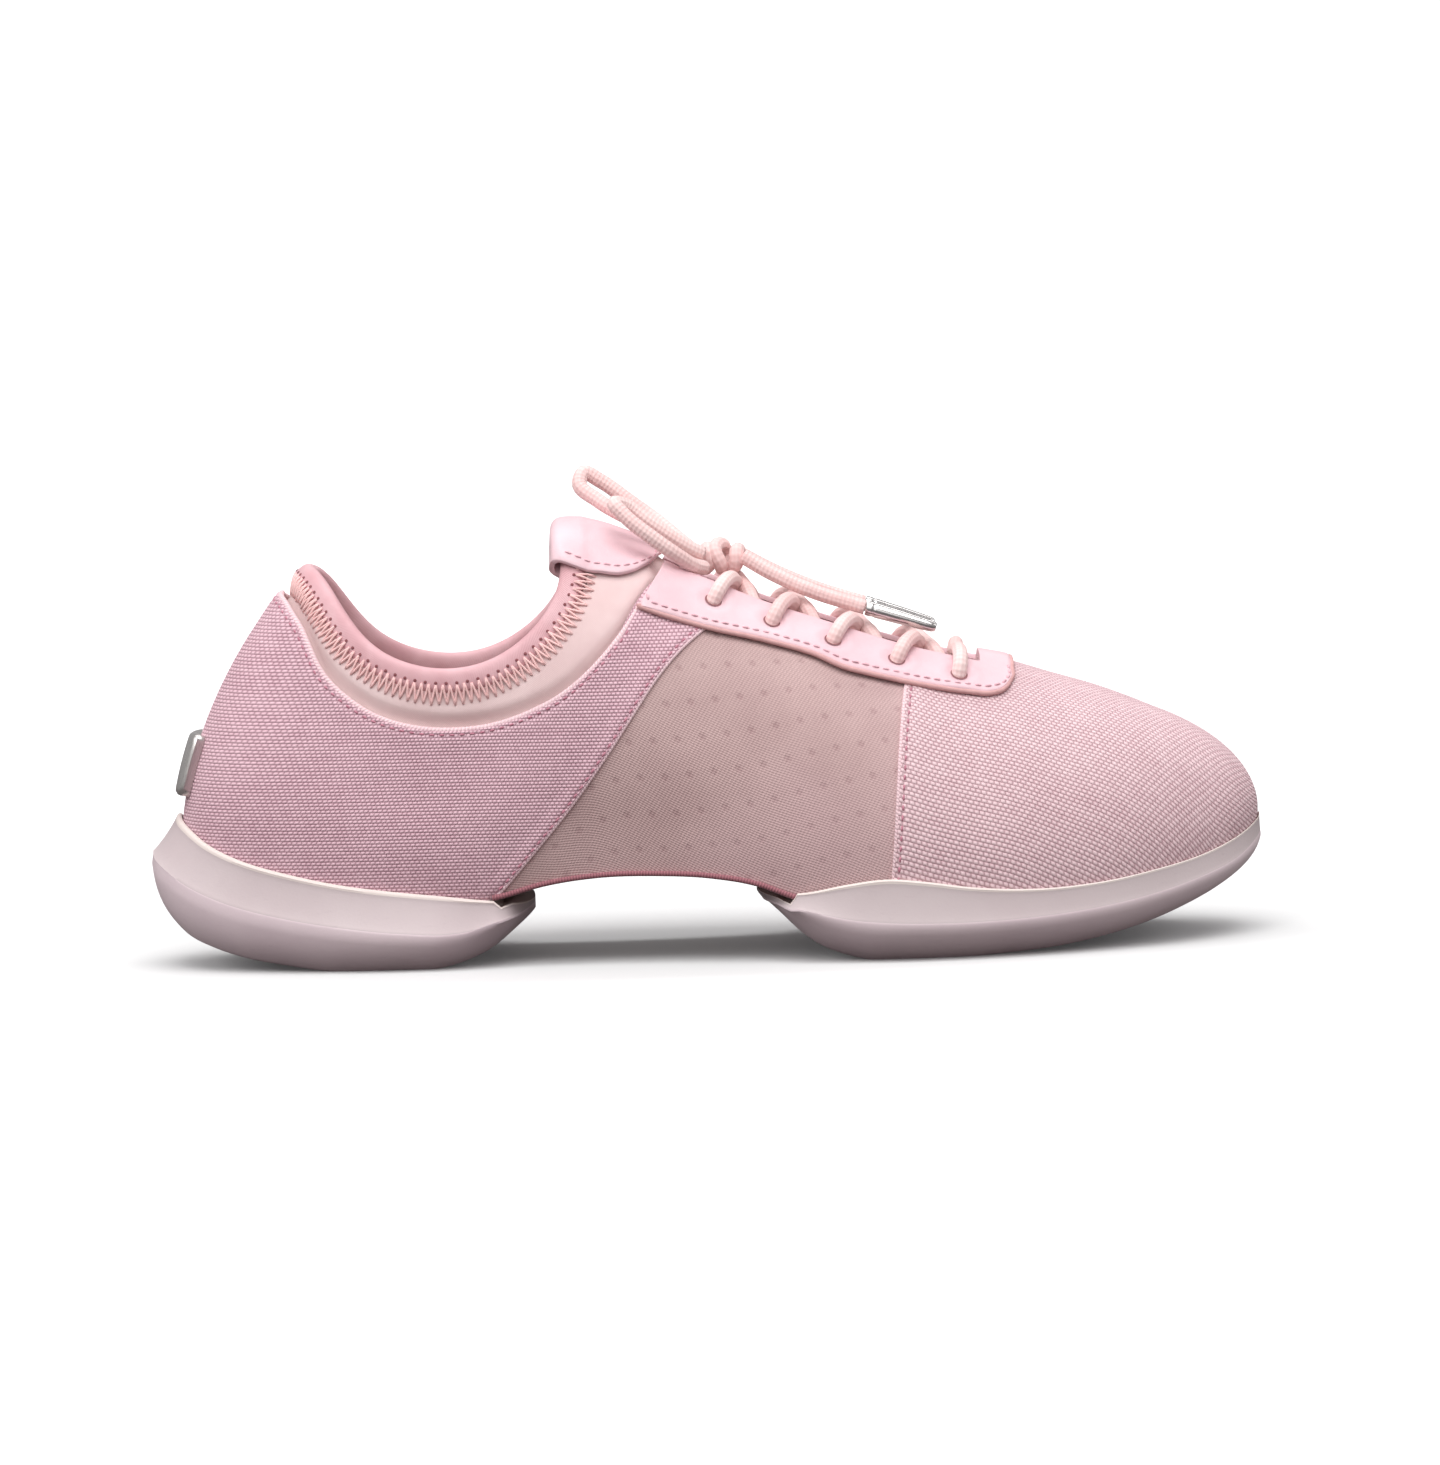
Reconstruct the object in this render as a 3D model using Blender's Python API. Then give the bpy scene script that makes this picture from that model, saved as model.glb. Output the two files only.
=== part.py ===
"""Dance sneaker, right foot: split sole, soft upper on a last, sock collar with gusseted tongue, laces.

Metres. X runs from heel to toe, -Y is the outer side, +Z is up. The heel's rearmost rim is x = 0 while
the shapes are made, and everything is centred at the end.
"""

import math

import bmesh
import bpy
import numpy as np

for old in list(bpy.data.objects):
    bpy.data.objects.remove(old, do_unlink=True)

# Driving sizes
LENGTH = 0.268
BALL_WIDTH = 0.080
INSTEP_HEIGHT = 0.100
HEEL_INSET = 0.008
TOE_INSET = 0.004
WALL = 0.0013
CANVAS_STEP = 0.0005
FIT_GAP = 0.0003
SOCK_WALL = 0.0026
SOCK_EASE = 0.0009
SOCK_PUFF = 0.0016
TONGUE_SINK = 0.0008
LEATHER = 0.0010
FLANGE = 0.0095
BINDING_WIDTH = 0.0060
BINDING_THICK = 0.0038
LIP = 0.0012
INSOLE_THICK = 0.0030
INSOLE_INSET = 0.0030
INSOLE_EASE = 0.0007
LACE_DIAMETER = 0.0036
EYELET_DIAMETER = 0.0046
AGLET_LENGTH = 0.0175
AGLET_DIAMETER = 0.0039
PLATE_WIDTH = 0.0110
PLATE_THICK = 0.0024

# Where the main lines run, as shares of the way round from heel (0) to toe (1)
MOUTH_END = 0.400
TONGUE_START = 0.4215
EYESTAY_REAR = 0.475
THROAT_FRONT = 0.670
EYESTAY_FRONT = 0.694
SOCK_FRONT = 0.700
HEEL_PAD_END = 0.385
HEEL_PAD_TURN = 0.325
FORE_PAD_END = 0.522
FORE_PAD_TURN = 0.580

# Plan of the last's edge: share of the way along, outer and inner half width as shares of the ball width
OUTLINE = [
    # along, outer, inner
    (0.00, 0.000, 0.000),
    (0.03, 0.182, 0.182),
    (0.08, 0.268, 0.266),
    (0.16, 0.330, 0.322),
    (0.28, 0.352, 0.330),
    (0.40, 0.382, 0.322),
    (0.50, 0.430, 0.348),
    (0.60, 0.482, 0.415),
    (0.68, 0.502, 0.475),
    (0.76, 0.476, 0.496),
    (0.84, 0.406, 0.470),
    (0.91, 0.300, 0.402),
    (0.96, 0.181, 0.320),
    (1.00, -0.081, 0.081),
]

# Height of the last's edge along the shoe, as a share of the instep height
SEAT = [
    # along, height
    (0.00, 0.160),
    (0.10, 0.152),
    (0.20, 0.152),
    (0.27, 0.154),
    (0.31, 0.168),
    (0.35, 0.196),
    (0.40, 0.214),
    (0.45, 0.216),
    (0.50, 0.208),
    (0.54, 0.188),
    (0.57, 0.158),
    (0.61, 0.128),
    (0.66, 0.115),
    (0.74, 0.110),
    (0.81, 0.112),
    (0.87, 0.126),
    (0.92, 0.152),
    (0.96, 0.184),
    (1.00, 0.228),
]

# Mouth and throat line, then its way on over the vamp to the top of the toe
MOUTH = [
    # round, along, half width, height
    (0.00, 0.146, 0.000, 0.967),
    (0.06, 0.151, 0.075, 0.960),
    (0.10, 0.161, 0.130, 0.938),
    (0.15, 0.177, 0.212, 0.860),
    (0.20, 0.199, 0.274, 0.778),
    (0.25, 0.231, 0.316, 0.733),
    (0.30, 0.272, 0.338, 0.711),
    (0.35, 0.322, 0.345, 0.738),
    (0.38, 0.353, 0.335, 0.802),
    (0.40, 0.374, 0.304, 0.874),
    (0.43, 0.407, 0.238, 0.938),
    (0.46, 0.443, 0.169, 0.955),
    (0.50, 0.496, 0.144, 0.896),
    (0.54, 0.552, 0.138, 0.831),
    (0.58, 0.612, 0.136, 0.774),
    (0.62, 0.672, 0.132, 0.719),
    (0.66, 0.731, 0.125, 0.677),
    (0.70, 0.780, 0.119, 0.646),
    (0.75, 0.821, 0.112, 0.616),
    (0.80, 0.854, 0.100, 0.589),
    (0.85, 0.877, 0.081, 0.570),
    (0.90, 0.892, 0.056, 0.558),
    (0.95, 0.899, 0.029, 0.551),
    (1.00, 0.901, 0.000, 0.549),
]

# Height of the top line over the middle of the foot, and how far it leans to the inner side
RIDGE = [
    # along, height, lean
    (0.36, 1.026, 0.000),
    (0.40, 1.034, 0.000),
    (0.43, 1.008, 0.000),
    (0.464, 0.962, 0.000),
    (0.50, 0.917, 0.000),
    (0.55, 0.854, 0.000),
    (0.60, 0.806, 0.000),
    (0.67, 0.735, 0.000),
    (0.72, 0.701, 0.000),
    (0.77, 0.675, 0.002),
    (0.81, 0.640, 0.010),
    (0.856, 0.600, 0.024),
    (0.901, 0.549, 0.037),
    (0.95, 0.480, 0.046),
]

# How each upright curve leaves the last's edge and meets the mouth line
SWELL = [
    # round, outward outer, outward inner, rise, reach, lean angle in degrees
    (0.00, 0.074, 0.074, 0.265, 0.262, 42),
    (0.06, 0.072, 0.072, 0.260, 0.248, 48),
    (0.10, 0.070, 0.068, 0.250, 0.240, 57),
    (0.15, 0.070, 0.066, 0.225, 0.230, 70),
    (0.20, 0.064, 0.060, 0.205, 0.205, 79),
    (0.25, 0.056, 0.050, 0.185, 0.185, 84),
    (0.30, 0.052, 0.046, 0.185, 0.185, 86),
    (0.35, 0.050, 0.046, 0.200, 0.205, 82),
    (0.38, 0.050, 0.048, 0.212, 0.235, 74),
    (0.40, 0.050, 0.050, 0.220, 0.260, 64),
    (0.43, 0.050, 0.052, 0.240, 0.260, 44),
    (0.46, 0.050, 0.054, 0.262, 0.245, 29),
    (0.50, 0.050, 0.056, 0.280, 0.222, 22),
    (0.58, 0.056, 0.056, 0.260, 0.240, 20),
    (0.65, 0.056, 0.052, 0.200, 0.230, 20),
    (0.72, 0.056, 0.050, 0.165, 0.205, 20),
    (0.80, 0.060, 0.054, 0.145, 0.185, 20),
    (0.88, 0.064, 0.058, 0.125, 0.172, 20),
    (0.94, 0.078, 0.074, 0.130, 0.200, 20),
    (1.00, 0.081, 0.081, 0.128, 0.208, 20),
]

# Free top edge of the outer shell, from the heel to the eyestay's rear end
SHELL_EDGE = [
    # round, height
    (0.00, 0.898),
    (0.06, 0.872),
    (0.10, 0.822),
    (0.15, 0.712),
    (0.20, 0.640),
    (0.25, 0.594),
    (0.30, 0.574),
    (0.35, 0.587),
    (0.38, 0.618),
    (0.40, 0.648),
    (0.43, 0.727),
    (0.45, 0.805),
    (0.46, 0.855),
    (0.475, 0.930),
]

# Lower edge of the leather eyestay
EYESTAY_EDGE = [
    # round, height
    (0.459, 0.846),
    (0.475, 0.824),
    (0.50, 0.793),
    (0.54, 0.752),
    (0.57, 0.713),
    (0.585, 0.684),
    (0.60, 0.666),
    (0.63, 0.635),
    (0.66, 0.612),
    (0.676, 0.606),
    (0.686, 0.615),
    (0.694, 0.640),
]

# Folded front edge of the rear quarter and rear edge of the vamp: share up the side, share round
QUARTER_LINE = [(0.00, 0.364), (0.25, 0.403), (0.50, 0.440), (0.75, 0.478), (1.00, 0.518)]
VAMP_LINE = [(0.00, 0.600), (0.50, 0.613), (1.00, 0.628)]

# The two sole mouldings: lip, crease and tread edge, by the way round
HEEL_RIM = [
    # round, lip height, crease out, crease height, tread edge out
    (0.000, 0.367, 0.116, 0.278, 0.044),
    (0.060, 0.336, 0.112, 0.243, 0.034),
    (0.100, 0.303, 0.104, 0.206, 0.018),
    (0.150, 0.267, 0.096, 0.166, 0.000),
    (0.200, 0.237, 0.089, 0.136, -0.018),
    (0.250, 0.209, 0.086, 0.112, -0.030),
    (0.300, 0.187, 0.086, 0.094, -0.037),
    (0.330, 0.175, 0.080, 0.089, -0.042),
    (0.345, 0.168, 0.062, 0.094, -0.046),
    (0.360, 0.162, 0.044, 0.110, -0.046),
    (0.385, 0.156, 0.030, 0.132, -0.040),
]
FORE_RIM = [
    # round, lip height, crease out, crease height, tread edge out
    (0.520, 0.168, 0.010, 0.152, -0.050),
    (0.550, 0.169, 0.046, 0.128, -0.070),
    (0.575, 0.187, 0.056, 0.106, -0.084),
    (0.600, 0.198, 0.058, 0.096, -0.088),
    (0.625, 0.189, 0.058, 0.092, -0.088),
    (0.650, 0.174, 0.056, 0.091, -0.088),
    (0.700, 0.161, 0.050, 0.096, -0.086),
    (0.750, 0.168, 0.045, 0.110, -0.080),
    (0.800, 0.187, 0.042, 0.132, -0.072),
    (0.850, 0.209, 0.042, 0.160, -0.062),
    (0.900, 0.237, 0.043, 0.190, -0.050),
    (0.950, 0.266, 0.045, 0.226, -0.034),
    (1.000, 0.284, 0.046, 0.247, -0.022),
]

# Underside of each moulding along the shoe: flat where it stands, rising at its ends
HEEL_TREAD = [
    # along, height
    (-0.01, 0.170),
    (0.015, 0.114),
    (0.030, 0.084),
    (0.055, 0.055),
    (0.082, 0.034),
    (0.120, 0.015),
    (0.160, 0.000),
    (0.200, 0.000),
    (0.250, 0.000),
    (0.280, 0.018),
    (0.303, 0.045),
    (0.322, 0.082),
    (0.342, 0.121),
]
FORE_TREAD = [
    # along, height
    (0.543, 0.142),
    (0.560, 0.108),
    (0.577, 0.068),
    (0.594, 0.038),
    (0.613, 0.018),
    (0.640, 0.000),
    (0.680, 0.000),
    (0.722, 0.000),
    (0.760, 0.005),
    (0.800, 0.012),
    (0.840, 0.027),
    (0.880, 0.050),
    (0.916, 0.080),
    (0.947, 0.115),
    (0.973, 0.158),
    (0.992, 0.206),
]

# Top of each moulding where the fabric lifts off it, in the arch
HEEL_SHELF = [(0.00, 0.30), (0.29, 0.30), (0.305, 0.160), (0.322, 0.152), (0.345, 0.138)]
FORE_SHELF = [(0.540, 0.152), (0.556, 0.154), (0.575, 0.148), (0.600, 0.30), (1.00, 0.30)]

# Leather tab on the tongue: half width along it, then its outer and inner profiles round the tongue's edge,
# each a row of how far along the shoe and how far out, as shares of the length
TAB_SHAPE = [(0.36, 0.245), (0.405, 0.250), (0.43, 0.240), (0.445, 0.205), (0.456, 0.150), (0.463, 0.080)]
TAB_OUTSIDE = [
    (0.388, -0.0190),
    (0.373, -0.0190),
    (0.3655, -0.0140),
    (0.3640, -0.0050),
    (0.3655, 0.0030),
    (0.373, 0.0080),
    (0.389, 0.0082),
    (0.400, 0.0062),
    (0.418, 0.0055),
    (0.432, 0.0055),
    (0.445, 0.0055),
    (0.455, 0.0055),
    (0.463, 0.0055),
]
TAB_INSIDE = [
    (0.388, -0.0148),
    (0.374, -0.0148),
    (0.3696, -0.0110),
    (0.3684, -0.0050),
    (0.3696, 0.0005),
    (0.374, 0.0036),
    (0.388, 0.0038),
    (0.399, 0.0020),
    (0.418, 0.0012),
    (0.432, 0.0012),
    (0.445, 0.0012),
    (0.455, 0.0012),
    (0.463, 0.0012),
]

# Lace strands: share of the way between two eyelets, and height over the last in lace diameters
BAR_HEIGHTS = [(0, 1.08), (0.05, 1.12), (0.14, 1.16), (0.24, 1.02), (0.36, 0.40), (0.5, 0.16),
               (0.64, 0.40), (0.76, 1.02), (0.86, 1.16), (0.95, 1.12), (1, 1.08)]
CROSS_HEIGHTS = [(0.30, 0.10), (0.40, 0.10), (0.5, 0.12), (0.62, 0.38), (0.76, 1.02), (0.86, 1.16), (0.95, 1.12), (1, 1.08)]

# Bow: the knot in lace diameters, and the routes of loops and ends as shares of the length
KNOT_PLACE = (0.507, 0.0, 1.25)
KNOT_SIZE = (3.3, 2.9, 2.4)
LOOP_INNER = [
    (0.4905, 0.0072, 0.3615),
    (0.4800, 0.0150, 0.3700),
    (0.466, 0.024, 0.3820),
    (0.437, 0.033, 0.4040),
    (0.410, 0.037, 0.4240),
    (0.3950, 0.035, 0.4320),
    (0.3910, 0.027, 0.4220),
    (0.408, 0.018, 0.4070),
    (0.438, 0.007, 0.3890),
    (0.465, -0.001, 0.3730),
    (0.4805, -0.0050, 0.3620),
    (0.4890, -0.0050, 0.3575),
]
LOOP_OUTER = [
    (0.5000, -0.0212, 0.3585),
    (0.488, -0.0285, 0.3650),
    (0.474, -0.034, 0.3740),
    (0.452, -0.039, 0.3900),
    (0.431, -0.043, 0.4060),
    (0.423, -0.051, 0.4080),
    (0.433, -0.058, 0.3960),
    (0.457, -0.062, 0.3760),
    (0.478, -0.057, 0.3600),
    (0.490, -0.046, 0.3510),
    (0.5010, -0.0238, 0.3462),
]
END_INNER = [
    (0.5365, 0.012, 0.3545),
    (0.560, 0.016, 0.3410),
    (0.600, 0.019, 0.3225),
    (0.645, 0.021, 0.3070),
]
END_OUTER = [
    (0.5365, -0.012, 0.3545),
    (0.560, -0.016, 0.3400),
    (0.600, -0.020, 0.3210),
    (0.645, -0.023, 0.3060),
]

# Lace holes: share round for each, front one first, and how far in from the throat edge
EYELETS = [0.6555, 0.618, 0.5805, 0.5445, 0.508]
EYELET_INSET = 0.0070


class Curve:
    """A smooth curve through rows of (where, value), clamped at its ends or closed after a period."""

    def __init__(self, where, value, period=None):
        where = np.array(where, float)
        value = np.array(value, float)
        if period:
            where = np.concatenate([where[-3:] - period, where, where[:3] + period])
            value = np.concatenate([value[-3:], value, value[:3]])
        self.where, self.value, self.period = where, value, period
        step = np.diff(where)
        rate = np.diff(value) / step
        slope = np.zeros(len(where))
        slope[1:-1] = (rate[:-1] * step[1:] + rate[1:] * step[:-1]) / (step[1:] + step[:-1])
        slope[0], slope[-1] = rate[0], rate[-1]
        self.slope = slope

    def __call__(self, at):
        at = np.asarray(at, float)
        if self.period:
            at = (at + self.period / 2) % self.period - self.period / 2
        else:
            at = np.clip(at, self.where[0], self.where[-1])
        i = np.clip(np.searchsorted(self.where, at, side="right") - 1, 0, len(self.where) - 2)
        span = self.where[i + 1] - self.where[i]
        u = (at - self.where[i]) / span
        start = (1 + 2 * u) * (1 - u) ** 2 * self.value[i] + u * (1 - u) ** 2 * span * self.slope[i]
        end = u * u * (3 - 2 * u) * self.value[i + 1] + u * u * (u - 1) * span * self.slope[i + 1]
        return start + end


def around(rows, outer, inner, sign=1):
    """A closed curve by the way round: minus on the outer side, plus on the inner, toe at both ends."""
    where = [-r[0] for r in rows[::-1]] + [r[0] for r in rows[1:-1]]
    value = [sign * r[outer] for r in rows[::-1]] + [r[inner] for r in rows[1:-1]]
    return Curve(where, value, 2.0)


def along(rows, column=1):
    return Curve([r[0] for r in rows], [r[column] for r in rows])


def round_of(share):
    """The way round (0 to 1) of a share of the way along the last's edge."""
    return math.acos(1 - 2 * share) / math.pi


outline = around([(round_of(a), o, i) for a, o, i in OUTLINE], 1, 2, -1)
mouth_along = around(MOUTH, 1, 1)
mouth_half = around(MOUTH, 2, 2, -1)
mouth_height = around(MOUTH, 3, 3)
swell_out = around(SWELL, 1, 2)
swell_rise = around(SWELL, 3, 3)
swell_reach = around(SWELL, 4, 4)
swell_angle = around(SWELL, 5, 5)
seat_height = along(SEAT)
ridge_height = along(RIDGE, 1)
ridge_lean = along(RIDGE, 2)
shell_edge = along(SHELL_EDGE)
eyestay_edge = along(EYESTAY_EDGE)
quarter_line = along(QUARTER_LINE)
vamp_line = along(VAMP_LINE)


def stack(x, y, z):
    return np.stack(np.broadcast_arrays(x, y, z), -1).astype(float)


def unit(a):
    return a / np.maximum(np.linalg.norm(a, axis=-1, keepdims=True), 1e-12)


def edge_point(t):
    """Point of the last's lower edge at way round t."""
    t = np.asarray(t, float)
    x = HEEL_INSET + (LENGTH - HEEL_INSET - TOE_INSET) * (1 - np.cos(math.pi * t)) / 2
    return stack(x, outline(t) * BALL_WIDTH, seat_height(x / LENGTH) * INSTEP_HEIGHT)


def core_point(t):
    """Point of the middle line that the section at t runs in to, kept inside at heel and toe."""
    t = np.asarray(t, float)
    x = edge_point(t)[..., 0]
    back = 0.018 * np.exp(-(x - HEEL_INSET) / 0.020)
    front = 0.022 * np.exp(-(LENGTH - TOE_INSET - x) / 0.024)
    x = x + back - front
    y = (outline(t) + outline(-t)) * BALL_WIDTH / 2
    return stack(x, y, seat_height(x / LENGTH) * INSTEP_HEIGHT)


def inward(t):
    d = core_point(t) - edge_point(t)
    d[..., 2] = 0
    return unit(d)


def mouth_point(t):
    x = mouth_along(t) * LENGTH
    y = mouth_half(t) * BALL_WIDTH + ridge_lean(x / LENGTH) * BALL_WIDTH
    return stack(x, y, mouth_height(t) * INSTEP_HEIGHT)


def ridge_point(t):
    x = mouth_along(t) * LENGTH
    return stack(x, ridge_lean(x / LENGTH) * BALL_WIDTH, ridge_height(x / LENGTH) * INSTEP_HEIGHT)


def bezier(a, b, c, d, u):
    u = np.asarray(u, float)[..., None]
    return (1 - u) ** 3 * a + 3 * u * (1 - u) ** 2 * b + 3 * u * u * (1 - u) * c + u**3 * d


def lean_of(t):
    """Direction in which the upright curve at t arrives at the mouth line."""
    angle = np.radians(swell_angle(t))[..., None]
    return np.cos(angle) * inward(t) + np.sin(angle) * np.array([0.0, 0.0, 1.0])


def last(t, v):
    """The outer surface: v from 0 at the lower edge to 1 at the mouth line and 2 on the ridge."""
    t, v = np.broadcast_arrays(np.asarray(t, float), np.asarray(v, float))
    up = np.array([0.0, 0.0, 1.0])
    edge, mouth, ridge, d = edge_point(t), mouth_point(t), ridge_point(t), inward(t)
    lean = lean_of(t)
    rise = swell_rise(t)[..., None] * INSTEP_HEIGHT
    low = edge - d * swell_out(t)[..., None] * INSTEP_HEIGHT + up * rise
    high = mouth - lean * swell_reach(t)[..., None] * INSTEP_HEIGHT
    side = bezier(edge, low, high, mouth, np.clip(v, 0, 1))
    run = mouth_point(t + 0.002) - mouth_point(t - 0.002)
    flat = unit(np.cross(lean, run))
    across = stack(0 * t, -np.sign(t), 0 * t)
    go = unit(across - flat * np.sum(across * flat, -1, keepdims=True))
    far = np.linalg.norm(ridge - mouth, axis=-1, keepdims=True) * 0.45
    top = bezier(mouth, mouth + go * far, ridge - across * far, ridge, np.clip(v - 1, 0, 1))
    return np.where((v > 1)[..., None], top, side)


def normal(t, v):
    """Outward direction of the outer surface."""
    t, v = np.broadcast_arrays(np.asarray(t, float), np.asarray(v, float))
    pole = (np.abs(t) > 0.9995) & (v > 0.995)
    t = np.where((np.abs(t) > 0.990) & (v > 0.995) & ~pole, np.sign(t) * 0.990, t)
    h = 0.0015
    low, high = np.clip(v - h, 0, 2), np.clip(v + h, 0, 2)
    low = np.where((v > 1) & (v < 1 + h), 1.0, low)
    high = np.where((v > 1 - h) & (v <= 1), v, high)
    rise = last(t, high) - last(t, low)
    rise = np.where((v > 1.999)[..., None], stack(0 * t, -np.sign(t), 0 * t), rise)
    out = unit(np.cross(rise, last(t + h, v) - last(t - h, v)))
    tip = unit(np.cross(lean_of(t), mouth_point(t + h) - mouth_point(t - h)))
    return np.where(pole[..., None], tip, out)


def off(t, v, out):
    """A point of the outer surface, moved out along its normal."""
    return last(t, v) + normal(t, v) * np.asarray(out, float)[..., None]


def up_to(t, height, top=1.0):
    """How far up the side (v) each section reaches a height."""
    t, height = np.broadcast_arrays(np.asarray(t, float), np.asarray(height, float))
    low, high = np.zeros(t.shape), np.full(t.shape, top)
    for _ in range(26):
        middle = (low + high) / 2
        under = last(t, middle)[..., 2] < height
        low, high = np.where(under, middle, low), np.where(under, high, middle)
    return (low + high) / 2


def bottom(t, w):
    """The underside: w from 0 at the last's edge to 1 on the middle line."""
    w = np.asarray(w, float)[..., None]
    return edge_point(t) * (1 - w) + core_point(t) * w


def width_in(t, distance):
    """The share w of the underside that lies a distance in from the edge."""
    reach = np.linalg.norm((core_point(t) - edge_point(t))[..., :2], axis=-1)
    return np.minimum(distance / reach, 0.85)


def smooth(u):
    u = np.clip(u, 0, 1)
    return u * u * (3 - 2 * u)


def material(name, colour, roughness, metallic=0.0):
    made = bpy.data.materials.new(name)
    made.use_nodes = True
    shader = made.node_tree.nodes["Principled BSDF"]
    shader.inputs["Base Color"].default_value = (*colour, 1)
    shader.inputs["Roughness"].default_value = roughness
    shader.inputs["Metallic"].default_value = metallic
    return made


def add(name, points, faces, paint):
    mesh = bpy.data.meshes.new(name)
    work = bmesh.new()
    made = [work.verts.new(p) for p in points]
    for face in faces:
        work.faces.new([made[i] for i in face])
    loose = [v for v in work.verts if not v.link_faces]
    bmesh.ops.delete(work, geom=loose, context="VERTS")
    bmesh.ops.triangulate(work, faces=work.faces[:])
    bmesh.ops.recalc_face_normals(work, faces=work.faces[:])
    if work.calc_volume(signed=True) < 0:
        bmesh.ops.reverse_faces(work, faces=work.faces[:])
    work.to_mesh(mesh)
    work.free()
    mesh.materials.append(paint)
    thing = bpy.data.objects.new(name, mesh)
    bpy.context.collection.objects.link(thing)
    return thing


def welded(points):
    """For each point, the number of the first point in the same place."""
    seen = {}
    return [seen.setdefault(tuple(np.round(p * 1e6).astype(int)), i) for i, p in enumerate(points)]


def tidy(face):
    kept = [a for a, b in zip(face, face[1:] + face[:1]) if a != b]
    return kept if len(set(kept)) == len(kept) and len(kept) > 2 else None


def grid(points, keep=None):
    """Faces of a grid of points, as lists of numbers, with the cells for which keep(row, column) is true."""
    rows, columns = points.shape[:2]
    number = np.arange(rows * columns).reshape(rows, columns)
    cells = [(r, c) for r in range(rows - 1) for c in range(columns - 1) if keep is None or keep(r, c)]
    return [
        [int(number[r, c]), int(number[r + 1, c]), int(number[r + 1, c + 1]), int(number[r, c + 1])]
        for r, c in cells
    ]


def walled(name, outside, inside, paint, keep=None):
    """One hollow-walled solid from an outer and an inner grid, with every open rim closed between them."""
    points = outside.reshape(-1, 3)
    hidden = inside.reshape(-1, 3)
    first = welded(points)
    faces = [f for f in (tidy([first[i] for i in face]) for face in grid(outside, keep)) if f]
    count = len(points)
    used = {}
    for face in faces:
        for a, b in zip(face, face[1:] + face[:1]):
            used.setdefault(frozenset((a, b)), []).append((a, b))
    rims = [pairs[0] for pairs in used.values() if len(pairs) == 1]
    back = [[i + count for i in face[::-1]] for face in faces]
    rim = [[b, a, a + count, b + count] for a, b in rims]
    return add(name, np.concatenate([points, hidden]), faces + back + rim, paint)


def skin(name, rings, paint, closed=False, caps=False):
    """A closed solid from rings of points."""
    points = rings.reshape(-1, 3)
    first = welded(points)
    faces = grid(rings)
    if closed:
        rows, columns = rings.shape[:2]
        number = np.arange(rows * columns).reshape(rows, columns)
        faces += [
            [int(number[r, -1]), int(number[r + 1, -1]), int(number[r + 1, 0]), int(number[r, 0])]
            for r in range(rows - 1)
        ]
    if caps:
        columns = rings.shape[1]
        faces += [list(range(columns)), [len(points) - 1 - i for i in range(columns)]]
    faces = [f for f in (tidy([first[i] for i in face]) for face in faces) if f]
    return add(name, points, faces, paint)


canvas = material("canvas", (0.55, 0.36, 0.33), 0.9)
sock = material("sock", (0.80, 0.72, 0.66), 0.95)
lycra = material("lycra", (0.78, 0.42, 0.42), 0.8)
leather = material("leather", (0.62, 0.44, 0.40), 0.5)
foam = material("foam", (0.62, 0.55, 0.56), 0.7)
lining = material("lining", (0.55, 0.50, 0.48), 0.95)
cord = material("cord", (0.80, 0.62, 0.60), 0.85)
metal = material("metal", (0.75, 0.75, 0.76), 0.3, 1.0)


# Upper: columns follow the folded edges of the panels, rows run from the middle of the underside up.
# The quarter's free edge turns a corner at row CORNER and climbs to the throat along column STRAP.
CORNER = 0.70
STRAP = 0.94


def upper_columns(f):
    """Ways round of one side's columns at share f up the side, with the outward step of the panel each is in."""
    rear, front = float(quarter_line(f)), float(vamp_line(f))
    hair = 0.0012
    quarter = [rear * STRAP * k / 12 for k in range(13)] + [rear - hair]
    panel = [rear + hair] + [rear + (front - rear) * k / 8 for k in range(1, 8)] + [front - hair]
    vamp = [front + hair] + [front + (THROAT_FRONT - front) * k / 2 for k in (1, 2)]
    toe = [THROAT_FRONT + (1 - THROAT_FRONT) * k / 10 for k in range(1, 11)]
    ways = quarter + panel + vamp + toe
    steps = [1] * len(quarter) + [0] * len(panel) + [1] * (len(vamp) + len(toe))
    ways = [-w for w in ways[:0:-1]] + ways
    steps = steps[:0:-1] + steps
    return np.array(ways), np.array(steps, float)


def shell_top(t):
    """How far up (v) the shell goes at each way round: to its free edge behind the eyestay, else to the throat."""
    s = np.abs(t)
    free = up_to(t, shell_edge(s) * INSTEP_HEIGHT)
    return np.where(s < EYESTAY_REAR, free, 1.0)


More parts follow.
